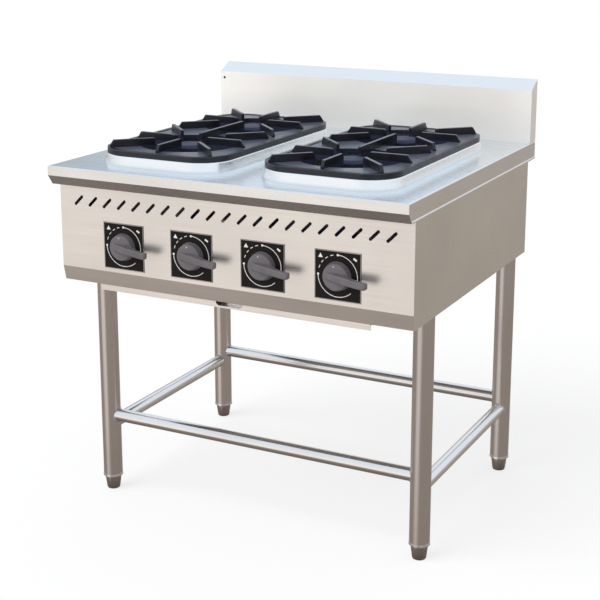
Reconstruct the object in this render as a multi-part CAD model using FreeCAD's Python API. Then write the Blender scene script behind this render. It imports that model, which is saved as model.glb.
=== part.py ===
"""Four-burner gas stove on tube legs, with a pull-out drip tray and a backsplash.

Lengths are in millimetres. X runs to the right along the front, Y to the back and
Z up. The origin is on the floor, under the middle of the worktop.
"""
import FreeCAD
import Part
import math
import os

Vector = FreeCAD.Vector
X_AXIS = Vector(1, 0, 0)
Y_AXIS = Vector(0, 1, 0)
Z_AXIS = Vector(0, 0, 1)

# Worktop, a folded sheet with a bevelled front edge
worktop_width = 800.0
worktop_depth = 740.0
worktop_height = 764.0
top_sheet = 1.5
lip_height = 20.0
bevel_drop = 20.0
bevel_inset = 14.0
edge_radius = 3.0
return_gap = 0.4
hem_out = 1.0
hem_height = 5.0
hem_slope = 2.5

# Raised collars that the grates rest on
collar_height = 20.0
collar_flare = 4.0
collar_margin = 2.0
collar_ledge = 12.0
collar_roll = 2.5

# Cast grates, each over a front and a rear burner
grate_width = 288.0
grate_corner = 70.0
grate_pitch = 372.0
grate_setback = 67.0
grate_end = 144.0
burner_spacing = 265.0
rim_height = 12.0
rim_width = 9.0
plate_thickness = 8.5
plate_recess = 1.5
opening_radius = 106.0
opening_lip = 6.0
fin_height = 16.0
fin_thickness = 6.5
fin_reach = 40.0
fin_edge_margin = 14.0
corner_fin_margin = 4.0
fin_overhang = 30.0
fin_end_slope = 8.0
fin_foot = 1.0
stud_radius = 7.0
stud_drop = 6.0
stud_clearance = 1.5
stud_shank = 4.0
stud_shank_length = 5.0
stud_fit = 0.05

# Backsplash
splash_height = 119.0
splash_depth = 38.0
splash_rise = 21.0
splash_hole_radius = 3.0
splash_hole_edge = 10.0
splash_hole_drop = 15.0

# Cabinet panels
panel_sheet = 1.2
cabinet_height = 250.0
front_setback = 37.0
side_inset = 3.0
rear_setback = 40.0
front_bend_height = 31.0
front_bend_inset = 7.0
flange_width = 25.0
side_flange = 15.0
leg_notch_clearance = 1.0

# Slanted vent slots of the front panel
vent_count = 21
vent_end_margin = 46.0
vent_length = 29.0
vent_width = 6.5
vent_angle = 45.0
vent_drop = 75.0

# Tube legs, their end plugs and the levelling feet
leg_diameter = 42.0
leg_wall = 1.5
leg_side_clearance = 3.0
front_leg_setback = 117.0
rear_leg_setback = 54.0
plug_plate = 3.0
plug_length = 30.0
plug_clearance = 0.1
foot_height = 32.0
foot_top_radius = 17.5
foot_sole_radius = 14.5
foot_shoulder = 6.0
foot_sole_chamfer = 3.0
insert_rim = 4.0
insert_lip = 1.0
insert_length = 26.0
foot_stem_radius = 6.0
foot_stem_length = 56.0
thread_clearance = 0.05

# Stretcher tubes between the legs
bar_diameter = 28.0
bar_wall = 1.2
cross_bar_height = 177.0
side_bar_drop = 24.0
weld_gap = 0.2

# Drip tray and its runners
tray_side_margin = 90.0
tray_rear_margin = 93.8
tray_front_height = 12.0
tray_setback = 8.0
tray_sheet = 1.2
tray_gap = 0.5
tray_strip_overlap = 12.0
tray_wall_drop = 1.0
tray_flange = 8.0
finger_room = 22.0
pull_width = 62.0
pull_depth = 8.0
runner_sheet = 1.2
runner_clearance = 1.0
runner_flange = 14.0
runner_drop = 0.3

# Knobs, their face plates and the valve stems
knob_end_margin = 155.05
control_drop = 162.0
face_plate_size = 97.0
face_plate_thickness = 1.0
knob_gap = 0.6
knob_radius = 29.0
knob_front_radius = 26.5
knob_height = 13.0
knob_edge_radius = 3.0
knob_rest_angle = -4.0
handle_reach = 74.0
handle_tail = 24.0
handle_root_width = 15.0
handle_tip_width = 14.0
handle_out = 34.0
handle_thickness = 11.0
handle_heel_sink = 1.0
handle_crown_rise = 6.0
handle_edge_radius = 3.0
stem_radius = 4.0
stem_clearance = 0.05
stem_engagement = 9.0
stem_depth = 26.0
stem_end_gap = 0.5
face_hole_clearance = 1.5
panel_hole_clearance = 3.0

# Gas valves, injectors and pipework
valve_radius = 14.0
valve_neck_radius = 9.0
valve_neck_length = 10.0
valve_length = 36.0
outlet_radius = 7.0
outlet_length = 14.0
injector_radius = 5.0
injector_length = 12.0
injector_bore = 1.2
manifold_radius = 10.65
manifold_wall = 2.6
manifold_drop = 34.0
manifold_end = 42.0
manifold_bend = 40.0
manifold_leg_clearance = 6.0
saddle_wall = 5.0
saddle_width = 26.0
saddle_clearance = 0.2
rear_hole_clearance = 1.5
inlet_hex = 30.0
inlet_hex_length = 14.0
inlet_socket = 6.0
inlet_thread_radius = 10.48
inlet_thread_length = 22.0
inlet_bore = 7.5
inlet_clearance = 0.05

# Burners and the rails that carry them
cap_below_fins = 16.5
cap_height = 15.0
cap_radius = 36.0
cap_wall = 9.0
cap_skirt = 9.0
port_count = 24
port_width = 3.2
port_height = 4.5
head_height = 55.0
head_wall = 5.0
flange_radius = 30.0
flange_thickness = 5.0
mixing_tube_radius = 14.0
mixing_tube_wall = 2.5
mouth_radius = 20.0
mouth_length = 20.0
mouth_gap = 3.0
rail_width = 44.0
rail_height = 25.0
rail_sheet = 1.5
rail_hole_clearance = 1.0

# Levels and lines worked out from the sizes above
top_front = -worktop_depth / 2
top_back = worktop_depth / 2
top_half = worktop_width / 2
skirt_half = top_half - hem_out
top_under = worktop_height - top_sheet
skirt_bottom = worktop_height - lip_height - bevel_drop
cabinet_half = top_half - side_inset
cabinet_inner = cabinet_half - panel_sheet
cabinet_bottom = worktop_height - cabinet_height
front_face = top_front + front_setback
front_inner = front_face + panel_sheet
front_bottom = front_face + front_bend_inset
front_flange_end = front_bottom + flange_width
flange_top = cabinet_bottom + panel_sheet
bend_wall = panel_sheet * math.hypot(front_bend_inset, front_bend_height) / front_bend_height
bend_inner = front_bottom - front_bend_inset * panel_sheet / front_bend_height + bend_wall
bend_rise = (bend_wall - panel_sheet) * front_bend_height / front_bend_inset
bend_corner = cabinet_bottom + front_bend_height + bend_rise
rear_face = top_back - rear_setback
rear_inner = rear_face - panel_sheet
leg_radius = leg_diameter / 2
leg_x = cabinet_inner - leg_side_clearance - leg_radius
leg_front_y = front_face + front_leg_setback
leg_rear_y = rear_face - rear_leg_setback
leg_bottom = foot_height + insert_rim
leg_top = top_under - plug_plate
bar_radius = bar_diameter / 2
grate_x = grate_pitch / 2
grate_depth = burner_spacing + 2 * grate_end
grate_y = top_front + grate_setback + grate_depth / 2
grate_bottom = worktop_height + collar_height
rim_top = grate_bottom + rim_height
plate_top = rim_top - plate_recess
plate_under = plate_top - plate_thickness
fin_top = plate_top + fin_height
control_z = worktop_height - control_drop
face_plate_front = front_face - face_plate_thickness
knob_back = face_plate_front - knob_gap
valve_back = front_inner + valve_neck_length + valve_length
outlet_back = valve_back + outlet_length
manifold_y = front_inner + valve_neck_length + valve_length / 2
manifold_z = control_z - manifold_drop
manifold_x = leg_x - leg_radius - manifold_leg_clearance - manifold_radius
cap_top = fin_top - cap_below_fins
head_top = cap_top - cap_height
rail_top = head_top - head_height
mouth_y = outlet_back + injector_length + mouth_gap
tray_front = front_face + tray_setback
tray_top = cabinet_bottom - tray_gap
tray_bottom = tray_top - tray_front_height
tray_half = cabinet_half - tray_side_margin
tray_back = rear_inner - tray_rear_margin
strip_back = tray_front + tray_sheet
pan_front = strip_back + finger_room
pan_half = tray_half - tray_strip_overlap
pan_top = tray_top - tray_wall_drop

SIDES = {"left": -1, "right": 1}
ENDS = {"front": -1, "rear": 1}
FACINGS = {"right": 0, "back": 90, "left": 180, "front": 270}
FEED_ORDER = ["front_left", "rear_left", "rear_right", "front_right"]


def box(low, high):
    """A block between two corners."""
    size = [b - a for a, b in zip(low, high)]
    return Part.makeBox(size[0], size[1], size[2], Vector(*low))


def rod(radius, start, axis, length):
    """A round bar from a point along an axis."""
    return Part.makeCylinder(radius, length, start, axis)


def prism(points, direction):
    """A polygon of points pushed along a direction."""
    return Part.Face(Part.makePolygon(points + points[:1])).extrude(direction)


def prism_x(outline, low, high):
    """A (y, z) outline pushed along X from low to high."""
    return prism([Vector(low, y, z) for y, z in outline], X_AXIS * (high - low))


def turned(outline, x, y):
    """A closed (radius, z) outline turned about the vertical line at x, y."""
    points = [Vector(x + r, y, z) for r, z in outline]
    face = Part.Face(Part.makePolygon(points + points[:1]))
    return face.revolve(Vector(x, y, 0), Z_AXIS, 360)


def rounded_outline(width, depth, radius, middle):
    """A level rectangle with round corners, about a middle point."""
    half_x = width / 2 - radius
    half_y = depth / 2 - radius
    slant = radius * math.sqrt(0.5)
    edges = []
    last = None
    for sx, sy in ((1, -1), (1, 1), (-1, 1), (-1, -1)):
        centre = middle + Vector(sx * half_x, sy * half_y, 0)
        out_x = centre + Vector(sx * radius, 0, 0)
        out_y = centre + Vector(0, sy * radius, 0)
        start, end = (out_y, out_x) if sx * sy < 0 else (out_x, out_y)
        if last is not None:
            edges.append(Part.makeLine(last, start))
        edges.append(Part.Arc(start, centre + Vector(sx * slant, sy * slant, 0), end).toShape())
        last = end
    edges.append(Part.makeLine(last, edges[0].Vertexes[0].Point))
    return Part.Wire(edges)


def rounded_block(width, depth, radius, middle, height):
    """A rounded rectangle pushed up from the middle point's level."""
    return Part.Face(rounded_outline(width, depth, radius, middle)).extrude(Z_AXIS * height)


def fused(shapes):
    """One solid from shapes that overlap or share faces."""
    return shapes[0].multiFuse(shapes[1:]).removeSplitter()


def level_edges(shape, z):
    """The edges of a shape that lie at one level."""
    return [e for e in shape.Edges if abs(e.BoundBox.ZMin - z) + abs(e.BoundBox.ZMax - z) < 1e-6]


def leg_points(z):
    """Names and middles of the four legs at a level."""
    points = {}
    for end, y in (("front", leg_front_y), ("rear", leg_rear_y)):
        for side, sign in SIDES.items():
            points[f"{end}_{side}"] = Vector(sign * leg_x, y, z)
    return points


def burner_points(z):
    """Names and middles of the four burners at a level."""
    points = {}
    for end, direction in ENDS.items():
        for side, sign in SIDES.items():
            y = grate_y + direction * burner_spacing / 2
            points[f"{end}_{side}"] = Vector(sign * grate_x, y, z)
    return points


def knob_x():
    """Places of the knobs along the front, from left to right."""
    first = -cabinet_half + knob_end_margin
    pitch = -2 * first / (len(FEED_ORDER) - 1)
    return [first + i * pitch for i in range(len(FEED_ORDER))]


def burner_feed():
    """The knob line that feeds each burner: outer knobs feed the front burners."""
    return dict(zip(FEED_ORDER, knob_x()))


def worktop_pan():
    """The folded top with its lip, bevel, skirts and front return."""
    lip_bottom = worktop_height - lip_height
    outer = prism_x(
        [
            (top_front, worktop_height),
            (top_back, worktop_height),
            (top_back, skirt_bottom),
            (top_front + bevel_inset, skirt_bottom),
            (top_front, lip_bottom),
        ],
        -skirt_half,
        skirt_half,
    )
    bends = [e for e in level_edges(outer, worktop_height) if e.BoundBox.YMin < top_back - edge_radius]
    outer = outer.makeFillet(edge_radius, bends)
    slope = math.hypot(bevel_inset, bevel_drop)
    wall_y = top_sheet * slope / bevel_drop
    return_end = front_face - return_gap
    floor_z = skirt_bottom + top_sheet
    bevel_y = top_front + bevel_inset * (lip_bottom - floor_z) / bevel_drop + wall_y
    corner_z = lip_bottom + (wall_y - top_sheet) * bevel_drop / bevel_inset
    inner = prism_x(
        [
            (top_front + top_sheet, top_under),
            (top_back - top_sheet, top_under),
            (top_back - top_sheet, skirt_bottom - top_sheet),
            (return_end, skirt_bottom - top_sheet),
            (return_end, floor_z),
            (bevel_y, floor_z),
            (top_front + top_sheet, corner_z),
        ],
        -skirt_half + top_sheet,
        skirt_half - top_sheet,
    )
    return fused([outer.cut(inner)] + [skirt_hem(sign) for sign in SIDES.values()])


def skirt_hem(sign):
    """The folded edge along the bottom of a side skirt, with a sloped upper side."""
    start = top_front + bevel_inset
    profile = [
        (skirt_half - top_sheet, skirt_bottom),
        (top_half, skirt_bottom),
        (top_half, skirt_bottom + hem_height - hem_slope),
        (skirt_half, skirt_bottom + hem_height),
        (skirt_half - top_sheet, skirt_bottom + hem_height),
    ]
    return prism([Vector(sign * x, start, z) for x, z in profile], Y_AXIS * (top_back - start))


def collar_loft(x, offset, low):
    """The flared collar body, grown by an offset, from a level to its ledge."""
    base = 2 * (collar_margin + collar_flare + offset)
    top = 2 * (collar_margin + offset)
    wires = []
    for grow, z in ((base, low), (top, low + collar_height)):
        radius = grate_corner + grow / 2
        middle = Vector(x, grate_y, z)
        wires.append(rounded_outline(grate_width + grow, grate_depth + grow, radius, middle))
    return Part.makeLoft(wires, True, True)


def worktop():
    """The pan with two drawn collars that are open inside their ledges."""
    shape = worktop_pan()
    slant = math.hypot(collar_flare, collar_height)
    wall = top_sheet * slant / collar_height
    sink = collar_flare * top_sheet / collar_height
    for sign in SIDES.values():
        x = sign * grate_x
        outside = collar_loft(x, 0, worktop_height)
        outside = outside.makeFillet(collar_roll, level_edges(outside, grate_bottom))
        inside = collar_loft(x, sink - wall, top_under)
        shrink = 2 * (collar_margin - collar_ledge)
        mouth = rounded_block(
            grate_width + shrink,
            grate_depth + shrink,
            grate_corner + shrink / 2,
            Vector(x, grate_y, top_under),
            collar_height + 2 * top_sheet,
        )
        shape = shape.fuse(outside).cut(inside).cut(mouth)
    return shape.removeSplitter()


def backsplash():
    """The upright sheet box at the back, with a top that slopes backwards."""
    front = top_back - splash_depth
    bend = worktop_height + splash_height
    crest = bend + splash_rise
    outer = prism_x(
        [(front, worktop_height), (front, bend), (top_back, crest), (top_back, worktop_height)],
        -skirt_half,
        skirt_half,
    )
    slope = math.hypot(splash_depth, splash_rise)
    drop = panel_sheet * slope / splash_depth
    grade = splash_rise / splash_depth
    inner = prism_x(
        [
            (front + panel_sheet, worktop_height - panel_sheet),
            (front + panel_sheet, bend + grade * panel_sheet - drop),
            (top_back - panel_sheet, crest - grade * panel_sheet - drop),
            (top_back - panel_sheet, worktop_height - panel_sheet),
        ],
        -skirt_half + panel_sheet,
        skirt_half - panel_sheet,
    )
    hole_at = Vector(-skirt_half + splash_hole_edge, front - panel_sheet, bend - splash_hole_drop)
    hole = rod(splash_hole_radius, hole_at, Y_AXIS, 3 * panel_sheet)
    return outer.cut(inner).cut(hole)


def vent_slots():
    """Slanted slots in a row under the worktop's edge."""
    half = (vent_length - vent_width) / 2
    radius = vent_width / 2
    lean = math.radians(vent_angle)
    along = Vector(math.cos(lean), 0, math.sin(lean)) * half
    across = Vector(-math.sin(lean), 0, math.cos(lean)) * radius
    tip = along * ((half + radius) / half)
    depth = Y_AXIS * (3 * panel_sheet)
    first = -cabinet_half + vent_end_margin
    pitch = -2 * first / (vent_count - 1)
    slots = []
    for i in range(vent_count):
        x = first + i * pitch
        middle = Vector(x, front_face - panel_sheet, worktop_height - vent_drop)
        edges = [
            Part.makeLine(middle - along + across, middle + along + across),
            Part.Arc(middle + along + across, middle + tip, middle + along - across).toShape(),
            Part.makeLine(middle + along - across, middle - along - across),
            Part.Arc(middle - along - across, middle - tip, middle - along + across).toShape(),
        ]
        slots.append(Part.Face(Part.Wire(edges)).extrude(depth))
    return slots


def front_panel():
    """The control panel: flat face, lower edge bent inwards, and a bottom flange."""
    sheet = prism_x(
        [
            (front_face, top_under),
            (front_face, cabinet_bottom + front_bend_height),
            (front_bottom, cabinet_bottom),
            (front_flange_end, cabinet_bottom),
            (front_flange_end, flange_top),
            (bend_inner, flange_top),
            (front_inner, bend_corner),
            (front_inner, top_under),
        ],
        -cabinet_half,
        cabinet_half,
    )
    holes = vent_slots()
    for x in knob_x():
        start = Vector(x, front_face - panel_sheet, control_z)
        holes.append(rod(stem_radius + panel_hole_clearance, start, Y_AXIS, 3 * panel_sheet))
    return sheet.cut(Part.Compound(holes))


def side_panel(sign):
    """A side sheet behind the front panel, with a flange notched round the legs."""
    outer_x, inner_x = sign * cabinet_half, sign * cabinet_inner
    sheet = prism_x(
        [
            (front_inner, top_under),
            (front_inner, bend_corner),
            (bend_inner, flange_top),
            (front_flange_end, flange_top),
            (front_flange_end, cabinet_bottom),
            (rear_face, cabinet_bottom),
            (rear_face, top_under),
        ],
        outer_x,
        inner_x,
    )
    flange_x = sign * (cabinet_inner - side_flange)
    flange = box(
        (min(inner_x, flange_x), front_flange_end, cabinet_bottom),
        (max(inner_x, flange_x), rear_inner - flange_width, flange_top),
    )
    shape = sheet.fuse(flange)
    for middle in leg_points(cabinet_bottom - panel_sheet).values():
        shape = shape.cut(rod(leg_radius + leg_notch_clearance, middle, Z_AXIS, 3 * panel_sheet))
    return shape.removeSplitter()


def rear_panel():
    """The plain back sheet with a bottom flange and the gas pipe's hole."""
    sheet = box((-cabinet_inner, rear_inner, cabinet_bottom), (cabinet_inner, rear_face, top_under))
    flange = box(
        (-cabinet_inner, rear_inner - flange_width, cabinet_bottom),
        (cabinet_inner, rear_inner, flange_top),
    )
    start = Vector(manifold_x, rear_inner - panel_sheet, manifold_z)
    hole = rod(manifold_radius + rear_hole_clearance, start, Y_AXIS, 3 * panel_sheet)
    return sheet.fuse(flange).cut(hole).removeSplitter()


def leg(middle):
    """One leg tube, open at both ends."""
    outer = rod(leg_radius, middle, Z_AXIS, leg_top - leg_bottom)
    return outer.cut(rod(leg_radius - leg_wall, middle, Z_AXIS, leg_top - leg_bottom))


def leg_plugs():
    """The four plates under the worktop, each with a spigot inside its leg."""
    plugs = []
    spigot_radius = leg_radius - leg_wall - plug_clearance
    for middle in leg_points(leg_top).values():
        plate = rod(leg_radius, middle, Z_AXIS, plug_plate)
        spigot = rod(spigot_radius, middle - Z_AXIS * plug_length, Z_AXIS, plug_length)
        plugs.append(plate.fuse(spigot).removeSplitter())
    return Part.Compound(plugs)


def foot_insert(middle):
    """The bush in a leg's lower end: a rim, a spigot and the foot's threaded hole."""
    spigot_radius = leg_radius - leg_wall - plug_clearance
    bore = foot_stem_radius + thread_clearance
    top = leg_bottom + insert_length
    return turned(
        [
            (bore, foot_height),
            (leg_radius + insert_lip, foot_height),
            (leg_radius + insert_lip, leg_bottom),
            (spigot_radius, leg_bottom),
            (spigot_radius, top),
            (bore, top),
        ],
        middle.x,
        middle.y,
    )


def foot(middle):
    """A tapered levelling foot with its threaded stem."""
    return turned(
        [
            (0, 0),
            (foot_sole_radius - foot_sole_chamfer, 0),
            (foot_sole_radius, foot_sole_chamfer),
            (foot_top_radius, foot_height - foot_shoulder),
            (foot_top_radius, foot_height),
            (foot_stem_radius, foot_height),
            (foot_stem_radius, foot_height + foot_stem_length),
            (0, foot_height + foot_stem_length),
        ],
        middle.x,
        middle.y,
    )


def stretcher(start, end):
    """A tube between two legs, its ends coped to their round walls."""
    run = end - start
    tube = rod(bar_radius, start, run, run.Length).cut(rod(bar_radius - bar_wall, start, run, run.Length))
    for point in (start, end):
        below = point - Z_AXIS * bar_diameter
        tube = tube.cut(rod(leg_radius + weld_gap, below, Z_AXIS, 2 * bar_diameter))
    return tube


def stretchers():
    """Front and rear tubes, and the side tubes one step lower."""
    high = leg_points(cross_bar_height)
    low = leg_points(cross_bar_height - side_bar_drop)
    return {
        "front_stretcher": stretcher(high["front_left"], high["front_right"]),
        "rear_stretcher": stretcher(high["rear_left"], high["rear_right"]),
        "left_stretcher": stretcher(low["front_left"], low["rear_left"]),
        "right_stretcher": stretcher(low["front_right"], low["rear_right"]),
    }


def drip_tray():
    """A shallow pan with flanges that hang on the runners, and a tongue to the front strip."""
    pan = box((-pan_half, pan_front, tray_bottom), (pan_half, tray_back, pan_top))
    hollow = box(
        (-pan_half + tray_sheet, pan_front + tray_sheet, tray_bottom + tray_sheet),
        (pan_half - tray_sheet, tray_back - tray_sheet, pan_top + tray_sheet),
    )
    tongue = box((-pan_half, strip_back, tray_bottom), (pan_half, pan_front, tray_bottom + tray_sheet))
    pieces = [pan.cut(hollow), tongue]
    for sign in SIDES.values():
        wall, edge = sign * pan_half, sign * (pan_half + tray_flange)
        low = (min(wall, edge), pan_front, pan_top - tray_sheet)
        pieces.append(box(low, (max(wall, edge), tray_back, pan_top)))
    return fused(pieces)


def tray_front_strip():
    """The strip under the control panel, with a cut-out for the fingers in its upper edge."""
    strip = box((-tray_half, tray_front, tray_bottom), (tray_half, strip_back, tray_top))
    radius = pull_depth
    cut_half = pull_width / 2
    bow_x = cut_half - radius * (1 - math.sqrt(0.5))
    bow_z = tray_top - radius * math.sqrt(0.5)
    cut_y = tray_front - tray_sheet
    right_top = Vector(cut_half, cut_y, tray_top)
    right_low = Vector(cut_half - radius, cut_y, tray_top - radius)
    left_low = Vector(radius - cut_half, cut_y, tray_top - radius)
    left_top = Vector(-cut_half, cut_y, tray_top)
    edges = [
        Part.makeLine(left_top, right_top),
        Part.Arc(right_top, Vector(bow_x, cut_y, bow_z), right_low).toShape(),
        Part.makeLine(right_low, left_low),
        Part.Arc(left_low, Vector(-bow_x, cut_y, bow_z), left_top).toShape(),
    ]
    return strip.cut(Part.Face(Part.Wire(edges)).extrude(Y_AXIS * (3 * tray_sheet)))


def tray_runner(sign):
    """A folded runner under the panel flanges, with a ledge under the tray's flange."""
    ledge_x = pan_half + runner_clearance
    web = pan_half + tray_flange + runner_clearance
    ledge_z = pan_top - tray_sheet - runner_drop
    profile = [
        (ledge_x, ledge_z - runner_sheet),
        (web + runner_sheet, ledge_z - runner_sheet),
        (web + runner_sheet, cabinet_bottom - runner_sheet),
        (web + runner_flange, cabinet_bottom - runner_sheet),
        (web + runner_flange, cabinet_bottom),
        (web, cabinet_bottom),
        (web, ledge_z),
        (ledge_x, ledge_z),
    ]
    start = strip_back + runner_clearance
    points = [Vector(sign * x, start, z) for x, z in profile]
    return prism(points, Y_AXIS * (rear_face - start))


def fin(middle, angle, inner, outer):
    """An upright fin that points away from a burner's middle."""
    low = grate_bottom + fin_foot
    seat = plate_top - fin_foot
    step = fin_end_slope / 2
    profile = [
        (inner, low),
        (inner, fin_top - step / 2),
        (inner + step, fin_top),
        (outer - fin_end_slope, fin_top),
        (outer, plate_top + step),
        (outer, seat),
        (opening_radius + opening_lip, seat),
        (opening_radius + opening_lip, low),
    ]
    points = [Vector(middle.x + r, middle.y - fin_thickness / 2, z) for r, z in profile]
    shape = prism(points, Y_AXIS * fin_thickness)
    shape.rotate(middle, Z_AXIS, angle)
    return shape


def star_fins(star, inward):
    """The fins round one burner: four square to the edges, four towards the corners."""
    reach = {"right": grate_width / 2, "back": grate_end, "left": grate_width / 2, "front": grate_end}
    nearest = min(grate_width / 2, grate_end)
    corner = (nearest - grate_corner) * math.sqrt(2) + grate_corner - corner_fin_margin
    fins = []
    for facing, turn in FACINGS.items():
        outer = reach[facing] - fin_edge_margin
        if facing == inward:
            outer = burner_spacing / 2 + fin_end_slope
        fins.append(fin(star, turn, fin_reach, outer))
        fins.append(fin(star, turn + 45, opening_radius - fin_overhang, corner))
    return fins


def star_points(sign):
    """Middles of a grate's front and rear star, at the level that it rests on."""
    return [Vector(sign * grate_x, grate_y + d * burner_spacing / 2, grate_bottom) for d in ENDS.values()]


def stud_points(sign):
    """Middles of a grate's locating studs, just inside the collar's ledge."""
    reach = grate_width / 2 + collar_margin - collar_ledge - stud_clearance - stud_radius
    return [star + X_AXIS * (side * reach) for star in star_points(sign) for side in SIDES.values()]


def grate(sign):
    """A cast grate: rimmed plate, two burner openings, fins and holes for the studs."""
    middle = Vector(sign * grate_x, grate_y, grate_bottom)
    inset = 2 * rim_width
    inner_size = (grate_width - inset, grate_depth - inset, grate_corner - rim_width)
    stars = star_points(sign)
    plate = rounded_block(grate_width, grate_depth, grate_corner, middle, rim_height)
    dish = rounded_block(*inner_size, Vector(middle.x, grate_y, plate_top), rim_height)
    under = rounded_block(*inner_size, middle, plate_under - grate_bottom)
    for star in stars:
        under = under.cut(rod(opening_radius + opening_lip, star, Z_AXIS, rim_height))
    shape = plate.cut(dish).cut(under)
    for star in stars:
        shape = shape.cut(rod(opening_radius, star, Z_AXIS, 2 * rim_height))
    pieces = [shape]
    for star, inward in zip(stars, ("back", "front")):
        pieces += star_fins(star, inward)
    shape = fused(pieces)
    head_depth = plate_under - grate_bottom
    for at in stud_points(sign):
        shape = shape.cut(rod(stud_radius + stud_fit, at, Z_AXIS, head_depth))
        shape = shape.cut(rod(stud_shank + stud_fit, at, Z_AXIS, head_depth + stud_shank_length))
    return shape


def grate_studs(sign):
    """The four studs pressed into a grate from below, which keep it inside its collar."""
    studs = []
    for at in stud_points(sign):
        foot = at - Z_AXIS * stud_drop
        head = rod(stud_radius, foot, Z_AXIS, plate_under - foot.z)
        shank = rod(stud_shank, foot, Z_AXIS, plate_under + stud_shank_length - stud_fit - foot.z)
        studs.append(head.fuse(shank).removeSplitter())
    return Part.Compound(studs)


def knob():
    """A knob about its own axis: domed disc, lever handle to the right, and stem bore."""
    edge = knob_edge_radius
    flank = knob_front_radius - edge
    sweep = math.sqrt(0.5)
    points = [
        Vector(0, 0, 0),
        Vector(knob_radius, 0, 0),
        Vector(knob_front_radius, 0, knob_height - edge),
        Vector(flank, 0, knob_height),
        Vector(0, 0, knob_height),
    ]
    rim = Vector(flank + edge * sweep, 0, knob_height - edge + edge * sweep)
    outline = [
        Part.makeLine(points[0], points[1]),
        Part.makeLine(points[1], points[2]),
        Part.Arc(points[2], rim, points[3]).toShape(),
        Part.makeLine(points[3], points[4]),
        Part.makeLine(points[4], points[0]),
    ]
    disc = Part.Face(Part.Wire(outline)).revolve(Vector(0, 0, 0), Z_AXIS, 360)
    shape = fused([disc, handle()])
    bore = rod(stem_radius, Vector(0, 0, 0), Z_AXIS, stem_engagement + stem_end_gap)
    return shape.cut(bore)


def handle():
    """The lever: a tapered outline in front view, cut by a curved side view."""
    root, tip = handle_root_width / 2, handle_tip_width / 2
    tip_x = handle_reach - tip
    tail_x = root - handle_tail
    plan = [
        Part.makeLine(Vector(tail_x, -root, 0), Vector(tip_x, -tip, 0)),
        Part.Arc(Vector(tip_x, -tip, 0), Vector(handle_reach, 0, 0), Vector(tip_x, tip, 0)).toShape(),
        Part.makeLine(Vector(tip_x, tip, 0), Vector(tail_x, root, 0)),
        Part.Arc(Vector(tail_x, root, 0), Vector(-handle_tail, 0, 0), Vector(tail_x, -root, 0)).toShape(),
    ]
    front_view = Part.Face(Part.Wire(plan)).extrude(Z_AXIS * handle_out)
    low = knob_height / 2
    under = handle_out - handle_thickness
    heel = knob_height - handle_heel_sink
    upper = Part.Arc(
        Vector(-handle_tail, 0, heel),
        Vector(knob_radius, 0, handle_out - handle_crown_rise),
        Vector(handle_reach - tip / 2, 0, handle_out),
    )
    lower = Part.Arc(
        Vector(handle_reach - tip / 2, 0, under),
        Vector((knob_radius + handle_reach) / 2, 0, under),
        Vector(knob_front_radius - knob_edge_radius, 0, low),
    )
    nose = Part.Arc(
        Vector(handle_reach - tip / 2, 0, handle_out),
        Vector(handle_reach, 0, (handle_out + under) / 2),
        Vector(handle_reach - tip / 2, 0, under),
    )
    side = [
        upper.toShape(),
        nose.toShape(),
        lower.toShape(),
        Part.makeLine(Vector(knob_front_radius - knob_edge_radius, 0, low), Vector(-handle_tail, 0, low)),
        Part.makeLine(Vector(-handle_tail, 0, low), Vector(-handle_tail, 0, heel)),
    ]
    side_view = Part.Face(Part.Wire(side)).extrude(Y_AXIS * (2 * handle_root_width))
    side_view.translate(Y_AXIS * -handle_root_width)
    lever = front_view.common(side_view).Solids[0]
    crown = max(lever.Faces, key=lambda face: face.Area)
    long_edges = [edge for edge in crown.Edges if edge.Length > handle_reach / 2]
    return lever.makeFillet(handle_edge_radius, long_edges)


def placed_knob(x):
    """A knob turned to face the front and set on its control line."""
    shape = knob()
    shape.rotate(Vector(0, 0, 0), Z_AXIS, knob_rest_angle)
    shape.rotate(Vector(0, 0, 0), X_AXIS, 90)
    shape.translate(Vector(x, knob_back, control_z))
    return shape


def valve_stem(x):
    """The round stem from a knob into its valve."""
    start = knob_back - stem_engagement
    end = front_inner + stem_depth
    return rod(stem_radius, Vector(x, start, control_z), Y_AXIS, end - start)


def face_plate(x):
    """The square plate behind a knob."""
    half = face_plate_size / 2
    plate = box(
        (x - half, face_plate_front, control_z - half),
        (x + half, front_face, control_z + half),
    )
    start = Vector(x, face_plate_front - face_plate_thickness, control_z)
    return plate.cut(rod(stem_radius + face_hole_clearance, start, Y_AXIS, 3 * face_plate_thickness))


def gas_valve(x):
    """A valve body with its neck, outlet, stem bore and the saddle round the manifold."""
    at = Vector(x, front_inner, control_z)
    body_y = front_inner + valve_neck_length
    neck = rod(valve_neck_radius, at, Y_AXIS, valve_neck_length)
    body = rod(valve_radius, Vector(x, body_y, control_z), Y_AXIS, valve_length)
    outlet = rod(outlet_radius, Vector(x, valve_back, control_z), Y_AXIS, outlet_length)
    left = x - saddle_width / 2
    ring_start = Vector(left, manifold_y, manifold_z)
    ring = rod(manifold_radius + saddle_wall, ring_start, X_AXIS, saddle_width)
    riser = box(
        (left, manifold_y - outlet_radius, manifold_z),
        (left + saddle_width, manifold_y + outlet_radius, control_z),
    )
    pipe = rod(manifold_radius + saddle_clearance, ring_start, X_AXIS, saddle_width)
    bore = rod(stem_radius + stem_clearance, at, Y_AXIS, stem_depth + stem_end_gap)
    return fused([neck, body, outlet, ring, riser]).cut(pipe).cut(bore)


def injectors():
    """The gas jets at the valve outlets."""
    jets = []
    for x in knob_x():
        at = Vector(x, outlet_back, control_z)
        jet = rod(injector_radius, at, Y_AXIS, injector_length)
        jets.append(jet.cut(rod(injector_bore, at, Y_AXIS, injector_length)))
    return Part.Compound(jets)


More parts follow.
